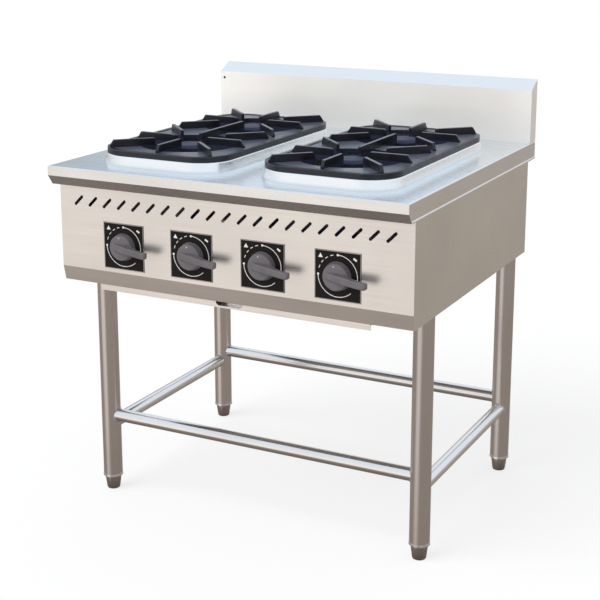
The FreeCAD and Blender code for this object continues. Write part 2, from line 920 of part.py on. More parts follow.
def gas_manifold():
    """The gas pipe: along the front behind the valves, then back to the rear panel."""
    left = knob_x()[0] - manifold_end
    corner = manifold_x - manifold_bend
    bend_y = manifold_y + manifold_bend
    half = manifold_bend * math.sqrt(0.5)
    end_y = rear_face + inlet_socket

    def run(radius, start_x):
        start = Vector(start_x, manifold_y, manifold_z)
        path = Part.Wire(
            [
                Part.makeLine(start, Vector(corner, manifold_y, manifold_z)),
                Part.Arc(
                    Vector(corner, manifold_y, manifold_z),
                    Vector(corner + half, bend_y - half, manifold_z),
                    Vector(manifold_x, bend_y, manifold_z),
                ).toShape(),
                Part.makeLine(Vector(manifold_x, bend_y, manifold_z), Vector(manifold_x, end_y, manifold_z)),
            ]
        )
        section = Part.Wire([Part.makeCircle(radius, start, X_AXIS)])
        return path.makePipeShell([section], True, False)

    return run(manifold_radius, left).cut(run(manifold_radius - manifold_wall, left + manifold_wall))


def gas_inlet():
    """The hexagonal fitting on the pipe's end, with its male thread."""
    flat = inlet_hex / 2
    reach = flat / math.cos(math.pi / 6)
    at = Vector(manifold_x, rear_face, manifold_z)
    corners = []
    for k in range(6):
        turn = math.pi * k / 3
        corners.append(at + Vector(reach * math.sin(turn), 0, reach * math.cos(turn)))
    nut = prism(corners, Y_AXIS * inlet_hex_length)
    thread = rod(inlet_thread_radius, at + Y_AXIS * inlet_hex_length, Y_AXIS, inlet_thread_length)
    socket = rod(manifold_radius + inlet_clearance, at, Y_AXIS, inlet_socket)
    bore = rod(inlet_bore, at, Y_AXIS, inlet_hex_length + inlet_thread_length)
    return nut.fuse(thread).cut(socket).cut(bore)


def elbow_run(points, radius):
    """Round bars between points, with round elbows where they meet."""
    pieces = [rod(radius, a, b - a, (b - a).Length) for a, b in zip(points, points[1:])]
    pieces += [Part.makeSphere(radius, p) for p in points[1:-1]]
    return fused(pieces)


def burner(middle, feed_x):
    """A cast burner: bell mouth, mixing tube, riser, flange and open bowl."""
    line = [
        Vector(feed_x, mouth_y, control_z),
        Vector(feed_x, middle.y, control_z),
        Vector(middle.x, middle.y, control_z),
        Vector(middle.x, middle.y, rail_top + flange_thickness),
    ]
    tube_inner = mixing_tube_radius - mixing_tube_wall
    mouth = Part.makeCone(mouth_radius, mixing_tube_radius, mouth_length, line[0], Y_AXIS)
    bell = Part.makeCone(mouth_radius - mixing_tube_wall, tube_inner, mouth_length, line[0], Y_AXIS)
    seat = rail_top + flange_thickness
    neck = mixing_tube_radius + head_wall
    floor_z = (seat + head_top) / 2
    bowl = turned(
        [
            (tube_inner, rail_top),
            (flange_radius, rail_top),
            (flange_radius, seat),
            (neck, seat),
            (cap_radius, floor_z),
            (cap_radius, head_top),
            (cap_radius - head_wall, head_top),
            (cap_radius - head_wall, floor_z + head_wall),
            (tube_inner, seat + head_wall),
        ],
        middle.x,
        middle.y,
    )
    body = fused([elbow_run(line, mixing_tube_radius), mouth, bowl])
    top = line[3] + Z_AXIS * head_wall
    return body.cut(elbow_run(line[:3] + [top], tube_inner)).cut(bell)


def burner_cap(middle):
    """A domed cap on the burner's rim, with gas ports round its skirt."""
    skirt_top = head_top + cap_skirt
    inner = cap_radius - cap_wall
    dome = turned(
        [
            (0, skirt_top - head_wall),
            (inner, skirt_top - head_wall),
            (inner, head_top),
            (cap_radius, head_top),
            (cap_radius, skirt_top),
            (cap_radius - cap_wall, cap_top),
            (0, cap_top),
        ],
        middle.x,
        middle.y,
    )
    ports = []
    for k in range(port_count):
        low = middle + Vector(inner - cap_wall, -port_width / 2, head_top - middle.z)
        high = middle + Vector(cap_radius + cap_wall, port_width / 2, head_top - middle.z + port_height)
        port = box(low, high)
        port.rotate(middle, Z_AXIS, k * 360 / port_count)
        ports.append(port)
    return dome.cut(Part.Compound(ports))


def burner_rail(end):
    """A channel between the side panels that carries two burners."""
    holes = [p for name, p in burner_points(rail_top - rail_height).items() if name.startswith(end)]
    y = holes[0].y
    half = rail_width / 2
    low = rail_top - rail_height
    channel = box((-cabinet_inner, y - half, low), (cabinet_inner, y + half, rail_top))
    hollow = box(
        (-cabinet_inner, y - half + rail_sheet, low),
        (cabinet_inner, y + half - rail_sheet, rail_top - rail_sheet),
    )
    channel = channel.cut(hollow)
    for point in holes:
        channel = channel.cut(rod(mixing_tube_radius + rail_hole_clearance, point, Z_AXIS, rail_height))
    return channel


def build_parts():
    """Every piece of the stove under its node name."""
    parts = {
        "worktop": worktop(),
        "backsplash": backsplash(),
        "front_panel": front_panel(),
        "rear_panel": rear_panel(),
        "drip_tray": drip_tray(),
        "tray_front": tray_front_strip(),
        "leg_plugs": leg_plugs(),
        "gas_manifold": gas_manifold(),
        "gas_inlet": gas_inlet(),
        "injectors": injectors(),
    }
    parts.update(stretchers())
    for side, sign in SIDES.items():
        parts[f"{side}_side_panel"] = side_panel(sign)
        parts[f"{side}_tray_runner"] = tray_runner(sign)
        parts[f"{side}_grate"] = grate(sign)
        parts[f"{side}_grate_studs"] = grate_studs(sign)
    for end in ENDS:
        parts[f"{end}_burner_rail"] = burner_rail(end)
    for name, middle in leg_points(leg_bottom).items():
        parts[f"leg_{name}"] = leg(middle)
        parts[f"foot_insert_{name}"] = foot_insert(middle)
        parts[f"foot_{name}"] = foot(middle)
    feeds = burner_feed()
    for name, middle in burner_points(head_top).items():
        parts[f"burner_{name}"] = burner(middle, feeds[name])
        parts[f"burner_cap_{name}"] = burner_cap(middle)
    for number, x in enumerate(knob_x(), start=1):
        parts[f"knob_{number}"] = placed_knob(x)
        parts[f"valve_stem_{number}"] = valve_stem(x)
        parts[f"knob_plate_{number}"] = face_plate(x)
        parts[f"gas_valve_{number}"] = gas_valve(x)
    return parts


def main():
    """Builds the pieces and writes one file for each."""
    os.makedirs("parts", exist_ok=True)
    for name, shape in build_parts().items():
        shape.exportStep(f"parts/{name}.step")
        print(f"{name}: {len(shape.Solids)} solids, {shape.Volume / 1000:.1f} cm3, valid {shape.isValid()}")


main()
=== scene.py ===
"""Looks of a four-burner gas stove on tube legs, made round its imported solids.

Lengths are in metres. X runs to the right along the front, Y to the back and Z up.
"""
import logging
import math
from dataclasses import dataclass, field
from enum import Enum
from typing import Any, Iterable, Sequence

import bmesh
import bpy
from mathutils import Matrix, Vector


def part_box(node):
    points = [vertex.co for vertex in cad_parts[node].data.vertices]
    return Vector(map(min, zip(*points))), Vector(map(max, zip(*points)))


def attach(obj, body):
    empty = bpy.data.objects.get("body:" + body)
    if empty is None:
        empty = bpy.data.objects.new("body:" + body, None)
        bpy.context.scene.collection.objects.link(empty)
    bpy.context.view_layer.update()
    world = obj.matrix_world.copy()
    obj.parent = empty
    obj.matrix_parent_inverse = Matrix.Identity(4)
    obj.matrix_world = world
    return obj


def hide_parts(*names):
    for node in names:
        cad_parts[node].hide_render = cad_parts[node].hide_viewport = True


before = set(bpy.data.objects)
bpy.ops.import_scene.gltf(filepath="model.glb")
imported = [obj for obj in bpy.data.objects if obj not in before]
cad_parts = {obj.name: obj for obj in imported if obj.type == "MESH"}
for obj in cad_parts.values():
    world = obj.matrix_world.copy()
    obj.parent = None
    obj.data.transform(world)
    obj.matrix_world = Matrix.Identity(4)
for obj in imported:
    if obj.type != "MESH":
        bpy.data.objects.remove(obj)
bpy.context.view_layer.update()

LOG = logging.getLogger("stove")

Colour = tuple[float, float, float]
Place = tuple[float, float, float]
Range = tuple[float, float]
Material = bpy.types.Material
Mesh = bpy.types.Mesh
Piece = bpy.types.Object
Socket = bpy.types.NodeSocket

MM = 0.001
QUARTER = math.pi / 2
KNOBS = range(1, 5)
WHITE: Colour = (1.0, 1.0, 1.0)
NOISE_REACH: Range = (0.3, 0.7)
MIX_INPUTS = (0, 6, 7)
MIX_OUTPUT = 2
SMOOTH_BELOW = math.radians(35)


class Grain(Enum):
    """Direction in which a sheet or tube was brushed, as noise cycles per metre."""

    ALONG_X = (5.0, 700.0, 700.0)
    ALONG_Y = (700.0, 5.0, 700.0)
    ALONG_Z = (700.0, 700.0, 5.0)


class Worded(Enum):
    """Directions whose names are parts of node names."""

    @property
    def word(self) -> str:
        """The name as node names spell it."""
        return self.name.lower()


class Side(Worded):
    """The two sides of the stove, with their sign along X."""

    LEFT = -1
    RIGHT = 1


class End(Worded):
    """The front and the rear of the stove, with their sign along Y."""

    FRONT = -1
    REAR = 1


def corner_name(end: End, side: Side) -> str:
    """The name of one corner in node names."""
    return f"{end.word}_{side.word}"


CORNERS = [(end, side) for end in End for side in Side]
CORNER_NAMES = [corner_name(*corner) for corner in CORNERS]
SIDE_NAMES = [side.word for side in Side]
END_NAMES = [end.word for end in End]


def shade(colour: Colour, factor: float) -> Colour:
    """A colour made darker or lighter by a factor."""
    return tuple(min(1.0, part * factor) for part in colour)


def opaque(colour: Any) -> Any:
    """A colour with full alpha, while an output stays as it is."""
    return colour if isinstance(colour, Socket) else (*colour, 1.0)


class Graph:
    """A node tree, with short calls for the nodes that looks and shapes share."""

    def __init__(self, tree: bpy.types.NodeTree) -> None:
        """Empties a tree to fill it anew."""
        self.tree = tree
        self.tree.nodes.clear()

    def add(self, kind: str, settings: dict[str, Any] | None = None, **inputs: Any) -> bpy.types.Node:
        """Adds a node and feeds its inputs.

        Args:
            kind: Blender's name of the node type.
            settings: Attributes of the node.
            inputs: Outputs or constants by input name, with underscores for spaces.

        Returns:
            The new node.
        """
        node = self.tree.nodes.new(kind)
        for key, value in (settings or {}).items():
            setattr(node, key, value)
        for key, value in inputs.items():
            self.feed(node.inputs[key.replace("_", " ")], value)
        return node

    def out(self, kind: str, settings: dict[str, Any] | None = None, **inputs: Any) -> Socket:
        """The first output of a new node."""
        return self.add(kind, settings, **inputs).outputs[0]

    def feed(self, socket: Socket, value: Any) -> None:
        """Links an output to an input, or sets the input's constant.

        Args:
            socket: The input.
            value: An output or a constant.
        """
        if isinstance(value, Socket):
            self.tree.links.new(value, socket)
        else:
            socket.default_value = value

    def fed(self, kind: str, values: Sequence[Any], **settings: Any) -> bpy.types.NodeOutputs:
        """Adds a node and feeds its first inputs in order.

        Args:
            kind: Blender's name of the node type.
            values: Outputs or constants.
            settings: Attributes of the node.

        Returns:
            The new node's outputs.
        """
        node = self.add(kind, settings)
        for socket, value in zip(node.inputs, values):
            self.feed(socket, value)
        return node.outputs

    def math(self, kind: str, first: Any, second: Any = 0.0) -> Socket:
        """One step of arithmetic on outputs or constants."""
        return self.fed("ShaderNodeMath", (first, second), operation=kind)[0]

    def split(self, vector: Socket) -> tuple[Socket, ...]:
        """The X, Y and Z of a vector."""
        return tuple(self.add("ShaderNodeSeparateXYZ", Vector=vector).outputs)

    def spread(self, value: Socket, start: float, end: float, low: float = 0.0, high: float = 1.0) -> Socket:
        """Maps a value evenly from one range to another, held at both ends."""
        return self.fed("ShaderNodeMapRange", (value, start, end, low, high))[0]

    def eased(self, value: Socket, start: float, end: float) -> Socket:
        """Maps a range of a value to zero and one, with soft ends."""
        return self.fed("ShaderNodeMapRange", (value, start, end), interpolation_type="SMOOTHSTEP")[0]

    def mixed(self, share: Socket, first: Any, second: Any) -> Socket:
        """Mixes two colours.

        Args:
            share: How much of the second colour shows.
            first: A colour or a colour's output.
            second: A colour or a colour's output.

        Returns:
            The mixed colour's output.
        """
        node = self.add("ShaderNodeMix", {"data_type": "RGBA"})
        for number, value in zip(MIX_INPUTS, (share, opaque(first), opaque(second))):
            self.feed(node.inputs[number], value)
        return node.outputs[MIX_OUTPUT]

    def blended(self, share: Socket, first: Socket, second: Socket) -> Socket:
        """A blend of two shaders, with the second one's share."""
        return self.fed("ShaderNodeMixShader", (share, first, second))[0]


class Recipe(Graph):
    """Node tree of one material, on object coordinates."""

    def __init__(self, name: str) -> None:
        """Starts a material with one surface shader.

        Args:
            name: The material's name.
        """
        self.material = bpy.data.materials.new(name)
        self.material.use_nodes = True
        super().__init__(self.material.node_tree)
        self.surface = self.add("ShaderNodeBsdfPrincipled")
        self.output = self.add("ShaderNodeOutputMaterial", Surface=self.surface.outputs["BSDF"])
        self.place = self.add("ShaderNodeTexCoord").outputs["Object"]

    def noise(self, scale: float, detail: float, stretch: Sequence[float] = (1, 1, 1)) -> Socket:
        """Cloudy noise, from cycles per metre, octaves and factors along the three axes."""
        mapped = self.out("ShaderNodeMapping", Vector=self.place, Scale=stretch)
        return self.add("ShaderNodeTexNoise", Vector=mapped, Scale=scale, Detail=detail).outputs["Fac"]

    def axes(self) -> tuple[Socket, ...]:
        """Each point's X, Y and Z, in metres."""
        return self.split(self.place)

    def folded(self, value: Socket, middle: float, half: float = 0.0) -> Socket:
        """Distance from the nearer of two places that lie evenly about a middle."""
        return self.math("SUBTRACT", self.math("ABSOLUTE", self.math("SUBTRACT", value, middle)), half)

    def varied(self, noise: Socket, value: float, factors: Range) -> Socket:
        """A value that varies with noise between two factors of itself."""
        return self.spread(noise, *NOISE_REACH, *(value * factor for factor in factors))

    def paint(self, colour: Socket, roughness: Socket, **constants: Any) -> None:
        """Gives the surface its colour, its roughness and constants by name, with underscores for spaces."""
        for key, value in {"Base_Color": colour, "Roughness": roughness, **constants}.items():
            self.feed(self.surface.inputs[key.replace("_", " ")], value)

    def bump(self, height: Socket, strength: float, depth: float) -> None:
        """Roughens the surface by a relief of a strength and a depth in metres."""
        relief = self.out("ShaderNodeBump", Height=height, Strength=strength, Distance=depth)
        self.feed(self.surface.inputs["Normal"], relief)


@dataclass(frozen=True)
class Finish:
    """A surface with a base colour."""

    name: str
    colour: Colour

    def material(self) -> Material:
        """Builds the finish.

        Returns:
            Its material.
        """
        recipe = Recipe(self.name)
        self.lay(recipe)
        return recipe.material

    def lay(self, recipe: Recipe) -> None:
        """Fills the material's node tree."""
        raise NotImplementedError(self.name)

    def shades(self, factors: Range) -> list[Colour]:
        """Two shades of the base colour."""
        return [shade(self.colour, factor) for factor in factors]


@dataclass(frozen=True)
class Zone:
    """A painted zone of light or shade: a colour that sets in between two levels, or between two distances
    from the middle plane.
    """

    colour: Colour
    none: float
    full: float
    most: float = 1.0
    sideways: bool = False

    def over(self, recipe: Recipe, colour: Socket) -> Socket:
        """Lays the zone over a colour.

        Args:
            recipe: The material's recipe.
            colour: The colour below.

        Returns:
            The changed colour's output.
        """
        x, _, level = recipe.axes()
        place = recipe.math("ABSOLUTE", x) if self.sideways else level
        return recipe.mixed(recipe.spread(place, self.none, self.full, 0.0, self.most), colour, self.colour)


# Painted reflection: the worktop's flat top tinted pale blue for the sky that it mirrors.
PAINTED_SKY_ON_FLAT = Zone((0.79, 0.873, 0.925), none=762.8 * MM, full=763.6 * MM, most=0.7)
# Painted light: the collars above the flat top made near white.
PAINTED_LIGHT_COLLARS = Zone((0.97, 0.985, 1.0), none=765 * MM, full=769 * MM)
# Painted shade: the splash darker and warmer towards the bottom, where it mirrors the grates.
PAINTED_SHADE_LOW_SPLASH = Zone((0.85, 0.82, 0.785), none=842 * MM, full=790 * MM)
# Painted reflection: the splash's top strip tinted pale blue for the sky that it mirrors.
PAINTED_SKY_STRIP = Zone((0.68, 0.74, 0.795), none=882.4 * MM, full=883.6 * MM)
# Painted shade: the splash's folded ends, out beyond a distance from the middle plane, made darker.
PAINTED_SHADE_ENDS = Zone((0.76, 0.69, 0.645), none=398.6 * MM, full=398.9 * MM, sideways=True)


@dataclass(frozen=True)
class BrushedSteel(Finish):
    """Stainless steel with fine brush lines, a faint cloudiness and painted zones of light and shade."""

    roughness: float
    grain: Grain
    line_depth: float = 0.04 * MM
    metallic: float = 1.0
    zones: tuple[Zone, ...] = ()
    line_detail: float = 2.0
    line_strength: float = 0.25
    line_gloss: Range = (0.85, 1.2)
    cloud_scale: float = 4.0
    cloud_detail: float = 4.0
    cloud_reach: Range = (0.35, 0.65)
    cloud_tones: Range = (0.95, 1.03)

    def lay(self, recipe: Recipe) -> None:
        """Lays brush lines over clouds and painted zones of light and shade.

        Args:
            recipe: The material's recipe.
        """
        lines = recipe.noise(1.0, self.line_detail, self.grain.value)
        clouds = recipe.noise(self.cloud_scale, self.cloud_detail)
        colour = recipe.mixed(recipe.spread(clouds, *self.cloud_reach), *self.shades(self.cloud_tones))
        for zone in self.zones:
            colour = zone.over(recipe, colour)
        recipe.paint(colour, recipe.varied(lines, self.roughness, self.line_gloss), Metallic=self.metallic)
        recipe.bump(lines, self.line_strength, self.line_depth)


@dataclass(frozen=True)
class HeatTint:
    """Painted sky light: a blue tone over the walls of the grate openings and over the burners, round the
    four burner centres.
    """

    colour: Colour = (0.028, 0.032, 0.062)
    across: float = 186 * MM
    back: float = -26.5 * MM
    along: float = 132.5 * MM
    full: float = 106.6 * MM
    none: float = 109 * MM
    top: float = 795 * MM
    fade: float = 1.5 * MM

    def share(self, recipe: Recipe) -> Socket:
        """How much of the painted sky light shows at each point.

        Args:
            recipe: The material's recipe.

        Returns:
            The share's output.
        """
        x, y, level = recipe.axes()
        aside = recipe.folded(x, 0.0, self.across)
        ahead = recipe.folded(y, self.back, self.along)
        squares = recipe.math("ADD", recipe.math("POWER", aside, 2.0), recipe.math("POWER", ahead, 2.0))
        near = recipe.spread(recipe.math("POWER", squares, 0.5), self.full, self.none, 1.0, 0.0)
        low = recipe.spread(level, self.top, self.top + self.fade, 1.0, 0.0)
        return recipe.math("MULTIPLY", near, low)


@dataclass(frozen=True)
class Mottled(Finish):
    """A skin whose colour and gloss vary in patches, over a fine relief."""

    roughness: float
    metallic: float = 0.0
    sheen: float = 0.5
    sheen_tint: Colour = WHITE
    scale: float = 300.0
    detail: float = 2.0
    reach: Range = NOISE_REACH
    tones: Range = (0.88, 1.1)
    gloss: Range = (0.85, 1.15)
    relief_scale: float = 300.0
    relief_detail: float = 2.0
    relief_strength: float = 0.08
    relief_depth: float = 0.1 * MM

    def lay(self, recipe: Recipe) -> None:
        """Lays patches over the relief.

        Args:
            recipe: The material's recipe.
        """
        patches = recipe.noise(self.scale, self.detail)
        colour = recipe.mixed(recipe.spread(patches, *self.reach), *self.colours())
        recipe.paint(
            self.toned(recipe, colour, patches),
            recipe.varied(patches, self.roughness, self.gloss),
            Metallic=self.metallic,
            Specular_IOR_Level=self.sheen,
            Specular_Tint=opaque(self.sheen_tint),
        )
        relief = recipe.noise(self.relief_scale, self.relief_detail)
        recipe.bump(relief, self.relief_strength, self.relief_depth)

    def colours(self) -> Sequence[Colour]:
        """The two colours between which the patches vary."""
        return self.shades(self.tones)

    def toned(self, recipe: Recipe, colour: Socket, patches: Socket) -> Socket:
        """The colour after local changes, of which a plain skin has none."""
        return colour


@dataclass(frozen=True, kw_only=True)
class EnamelCasting(Mottled):
    """Glossy dark enamel over a sand-cast surface, lighter on its top edges by wear and a painted highlight,
    with painted sky light and a painted sky sheen.
    """

    worn: Colour
    worn_from: float
    worn_to: float
    sheen_tint: Colour = (0.92, 0.93, 1.0)
    scale: float = 38.0
    detail: float = 4.0
    reach: Range = (0.35, 0.65)
    tones: Range = (0.8, 1.25)
    gloss: Range = (0.85, 1.25)
    relief_scale: float = 420.0
    relief_strength: float = 0.2
    relief_depth: float = 0.4 * MM
    heat: HeatTint = HeatTint()
    dish: Colour = (0.08, 0.093, 0.124)
    dish_level: float = 794.5 * MM
    dish_full: float = 0.2 * MM
    dish_none: float = 0.5 * MM
    rub_reach: Range = (0.3, 0.6)
    rub_least: float = 0.25

    def toned(self, recipe: Recipe, colour: Socket, patches: Socket) -> Socket:
        """The enamel with a painted sky sheen on its dish, painted sky light round the burners, and top edges
        lighter by wear and a painted highlight.

        Args:
            recipe: The material's recipe.
            colour: The patchy enamel's colour.
            patches: The patches' noise.

        Returns:
            The changed colour's output.
        """
        _, _, level = recipe.axes()
        # Painted reflection: the dish at the plate's level takes a paler blue colour for the sky's sheen.
        off_dish = recipe.folded(level, self.dish_level)
        in_dish = recipe.spread(off_dish, self.dish_full, self.dish_none, 1.0, 0.0)
        dish_sheened = recipe.mixed(in_dish, colour, self.dish)
        # Painted light: a blue tone for sky light over the opening walls and the burners.
        wall_lit = recipe.mixed(self.heat.share(recipe), dish_sheened, self.heat.colour)
        # Top edges lighter by wear in patches and by a painted highlight.
        rubbed = recipe.spread(patches, *self.rub_reach, self.rub_least, 1.0)
        worn = recipe.math("MULTIPLY", recipe.spread(level, self.worn_from, self.worn_to), rubbed)
        return recipe.mixed(worn, wall_lit, self.worn)


@dataclass(frozen=True)
class MouldedPlastic(Mottled):
    """Dark moulded plastic, marked by hands, with a fine satin texture."""

    scale: float = 45.0
    detail: float = 3.0
    tones: Range = (0.9, 1.12)
    gloss: Range = (0.85, 1.2)
    relief_scale: float = 1500.0
    relief_strength: float = 0.15


@dataclass(frozen=True)
class Paint(Mottled):
    """Plain speckled coat on metal."""


@dataclass(frozen=True)
class Ink(Paint):
    """Printed marks, speckled more finely than paint."""

    scale: float = 900.0
    relief_scale: float = 900.0


@dataclass(frozen=True, kw_only=True)
class MachinedMetal(Mottled):
    """Turned or drawn metal with a slightly tarnished skin."""

    tarnish: Colour
    metallic: float = 1.0
    scale: float = 90.0
    detail: float = 5.0
    reach: Range = (0.42, 0.7)
    gloss: Range = (0.8, 1.4)
    relief_scale: float = 600.0
    relief_detail: float = 1.0
    relief_strength: float = 0.12
    relief_depth: float = 0.08 * MM

    def colours(self) -> Sequence[Colour]:
        """Bare metal and tarnish."""
        return self.colour, self.tarnish


def laid(finish: Finish) -> Any:
    """A dataclass field that holds a finish's material."""
    return field(default_factory=finish.material)


@dataclass(frozen=True)
class Finishes:
    """Every finish of the stove, built once."""

    sheet_x: Material = laid(BrushedSteel("sheet_brushed_across", (0.87, 0.85, 0.835), 0.26, Grain.ALONG_X))
    panel: Material = laid(
        BrushedSteel("panel_brushed", (0.91, 0.857, 0.815), 0.36, Grain.ALONG_X, 0.02 * MM)
    )
    # The worktop carries a painted sky reflection on its flat top and painted light on its collars.
    worktop: Material = laid(
        BrushedSteel(
            "worktop_brushed",
            (0.87, 0.85, 0.835),
            0.26,
            Grain.ALONG_X,
            0.008 * MM,
            zones=(PAINTED_SKY_ON_FLAT, PAINTED_LIGHT_COLLARS),
        )
    )
    # The splash carries painted shade low down and on its ends, and a painted sky reflection on its top
    # strip.
    splash: Material = laid(
        BrushedSteel(
            "splash_brushed",
            (0.99, 0.95, 0.9),
            0.4,
            Grain.ALONG_X,
            0.02 * MM,
            metallic=0.27,
            zones=(PAINTED_SHADE_LOW_SPLASH, PAINTED_SKY_STRIP, PAINTED_SHADE_ENDS),
        )
    )
    zinc: Material = laid(MachinedMetal("zinc_sheet", (0.46, 0.46, 0.45), 0.5, tarnish=(0.36, 0.36, 0.36)))
    sheet_y: Material = laid(BrushedSteel("sheet_brushed_back", (0.84, 0.81, 0.775), 0.24, Grain.ALONG_Y))
    # The upright tubes are darker than the across tubes of the same steel: painted shade.
    tube_z: Material = laid(BrushedSteel("tube_upright", (0.64, 0.59, 0.565), 0.27, Grain.ALONG_Z))
    tube_x: Material = laid(BrushedSteel("tube_across", (0.84, 0.82, 0.81), 0.16, Grain.ALONG_X))
    tube_y: Material = laid(BrushedSteel("tube_back", (0.84, 0.82, 0.81), 0.16, Grain.ALONG_Y))
    grate: Material = laid(
        EnamelCasting(
            "grate_enamel",
            (0.009, 0.009, 0.015),
            0.32,
            # Fin tops lighter by wear and a painted highlight.
            worn=(0.1, 0.105, 0.13),
            worn_from=809.1 * MM,
            worn_to=810.3 * MM,
        )
    )
    burner: Material = laid(
        EnamelCasting(
            "burner_casting",
            (0.042, 0.043, 0.085),
            0.5,
            sheen=0.12,
            # Burner tops lighter blue by wear and painted sky light.
            worn=(0.046, 0.054, 0.1),
            worn_from=787 * MM,
            worn_to=794 * MM,
        )
    )
    knob: Material = laid(MouldedPlastic("knob_plastic", (0.12, 0.11, 0.118), 0.36))
    plate: Material = laid(Paint("plate_black", (0.01, 0.0075, 0.007), 0.5, sheen=0.15))
    ink: Material = laid(Ink("dial_ink", (0.74, 0.72, 0.7), 0.5))
    # Pale grey of the raised dot on each knob's face.
    index: Material = laid(Ink("index_ink", (0.5, 0.48, 0.49), 0.5))
    border: Material = laid(Paint("plate_border", (0.42, 0.4, 0.38), 0.35, metallic=0.6))
    ring: Material = laid(MachinedMetal("bright_ring", (0.9, 0.89, 0.87), 0.12, tarnish=(0.7, 0.68, 0.66)))
    foot: Material = laid(
        MachinedMetal("foot_steel", (0.435, 0.393, 0.36), 0.34, tarnish=(0.31, 0.278, 0.258))
    )
    weld: Material = laid(MachinedMetal("weld_bead", (0.66, 0.63, 0.6), 0.34, tarnish=(0.4, 0.36, 0.32)))
    brass: Material = laid(MachinedMetal("valve_brass", (0.78, 0.6, 0.27), 0.28, tarnish=(0.45, 0.32, 0.14)))
    pipe: Material = laid(MachinedMetal("pipe_steel", (0.58, 0.58, 0.59), 0.36, tarnish=(0.42, 0.43, 0.45)))
    stem: Material = laid(MachinedMetal("turned_steel", (0.62, 0.61, 0.6), 0.26, tarnish=(0.5, 0.48, 0.46)))


def linked(name: str, data: bpy.types.ID) -> Piece:
    """Puts a new object into the scene.

    Args:
        name: The object's name.
        data: Its mesh, lamp or camera.

    Returns:
        The object.
    """
    piece = bpy.data.objects.new(name, data)
    bpy.context.scene.collection.objects.link(piece)
    return piece


def point_mesh(name: str, places: Iterable[Sequence[float]]) -> Mesh:
    """A mesh of loose points.

    Args:
        name: The mesh's name.
        places: The points.

    Returns:
        The mesh.
    """
    mesh = bpy.data.meshes.new(name)
    mesh.from_pydata(list(places), [], [])
    return mesh


def front_of(name: str) -> Vector:
    """The middle of the front of a node's box."""
    low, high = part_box(name)
    return Vector(((low.x + high.x) / 2, low.y, (low.z + high.z) / 2))


class Pattern(Graph):
    """A Geometry Nodes tree with named sizes, made into a plain mesh."""

    def __init__(self, name: str) -> None:
        """Starts a tree.

        Args:
            name: The name of the tree and of the piece that it makes.
        """
        super().__init__(bpy.data.node_groups.new(name, "GeometryNodeTree"))
        self.name = name
        for socket, way in (("Source", "INPUT"), ("Result", "OUTPUT")):
            self.tree.interface.new_socket(socket, in_out=way, socket_type="NodeSocketGeometry")
        self.inlet = self.add("NodeGroupInput")
        self.outlet = self.add("NodeGroupOutput")
        self.values: dict[str, Any] = {}

    @property
    def source(self) -> Socket:
        """The host mesh, as the tree receives it."""
        return self.inlet.outputs["Source"]

    def sizes(self, **values: float) -> list[Socket]:
        """Adds named inputs.

        Args:
            values: This stove's sizes by input name, with underscores for spaces.

        Returns:
            The inputs' sockets inside the tree.
        """
        named = {name.replace("_", " "): value for name, value in values.items()}
        for name, value in named.items():
            kind = "NodeSocketInt" if isinstance(value, int) else "NodeSocketFloat"
            socket = self.tree.interface.new_socket(name, in_out="INPUT", socket_type=kind)
            self.values[socket.identifier] = value
        return [self.inlet.outputs[name] for name in named]

    def vector(self, x: Any = 0.0, y: Any = 0.0, z: Any = 0.0) -> Socket:
        """A vector from three values."""
        return self.out("ShaderNodeCombineXYZ", X=x, Y=y, Z=z)

    def moved(self, shape: Socket, **inputs: Any) -> Socket:
        """A shape after a move, turn or scaling."""
        return self.out("GeometryNodeTransform", Geometry=shape, **inputs)

    def swept(self, path: Socket, profile: Socket) -> Socket:
        """A closed body along a path."""
        return self.out("GeometryNodeCurveToMesh", Curve=path, Profile_Curve=profile, Fill_Caps=True)

    def repeated(self, points: Socket, shape: Socket, **inputs: Any) -> Socket:
        """A shape at every point."""
        return self.out("GeometryNodeInstanceOnPoints", Points=points, Instance=shape, **inputs)

    def made(self, shape: Socket, finish: Material, host: Mesh | None = None) -> Piece:
        """Ends the tree, runs it once and keeps its result as a plain mesh.

        Args:
            shape: The tree's last shape.
            finish: Material of the result.
            host: Mesh that the tree works on, or none.

        Returns:
            The finished piece.
        """
        real = self.out("GeometryNodeRealizeInstances", Geometry=shape)
        dressed = self.out("GeometryNodeSetMaterial", Geometry=real, Material=finish)
        self.feed(self.outlet.inputs[0], dressed)
        piece = linked(self.name, host or bpy.data.meshes.new(self.name))
        modifier = piece.modifiers.new(self.name, "NODES")
        modifier.node_group = self.tree
        for identifier, value in self.values.items():
            modifier[identifier] = value
        ready = piece.evaluated_get(bpy.context.evaluated_depsgraph_get())
        mesh = bpy.data.meshes.new_from_object(ready)
        piece.modifiers.remove(modifier)
        piece.data = mesh
        mesh.name = self.name
        return piece


def smoothed(mesh: Mesh, angle: float = SMOOTH_BELOW) -> None:
    """Shades a mesh smooth, apart from edges sharper than an angle."""
    mesh.shade_smooth()
    mesh.set_sharp_from_angle(angle=angle)


def skin(form: bmesh.types.BMesh, rings: Sequence[Sequence[bmesh.types.BMVert]]) -> None:
    """Closes the space between rings of points by faces.

    Args:
        form: The form that holds the points.
        rings: The rings in order, where a pole is a ring of one point.
    """
    steps = max(len(ring) for ring in rings)
    for low, high in zip(rings, rings[1:]):
        for k in range(steps):
            after = (k + 1) % steps
            corners = [low[k % len(low)], low[after % len(low)], high[after % len(high)], high[k % len(high)]]
            form.faces.new(list(dict.fromkeys(corners)))


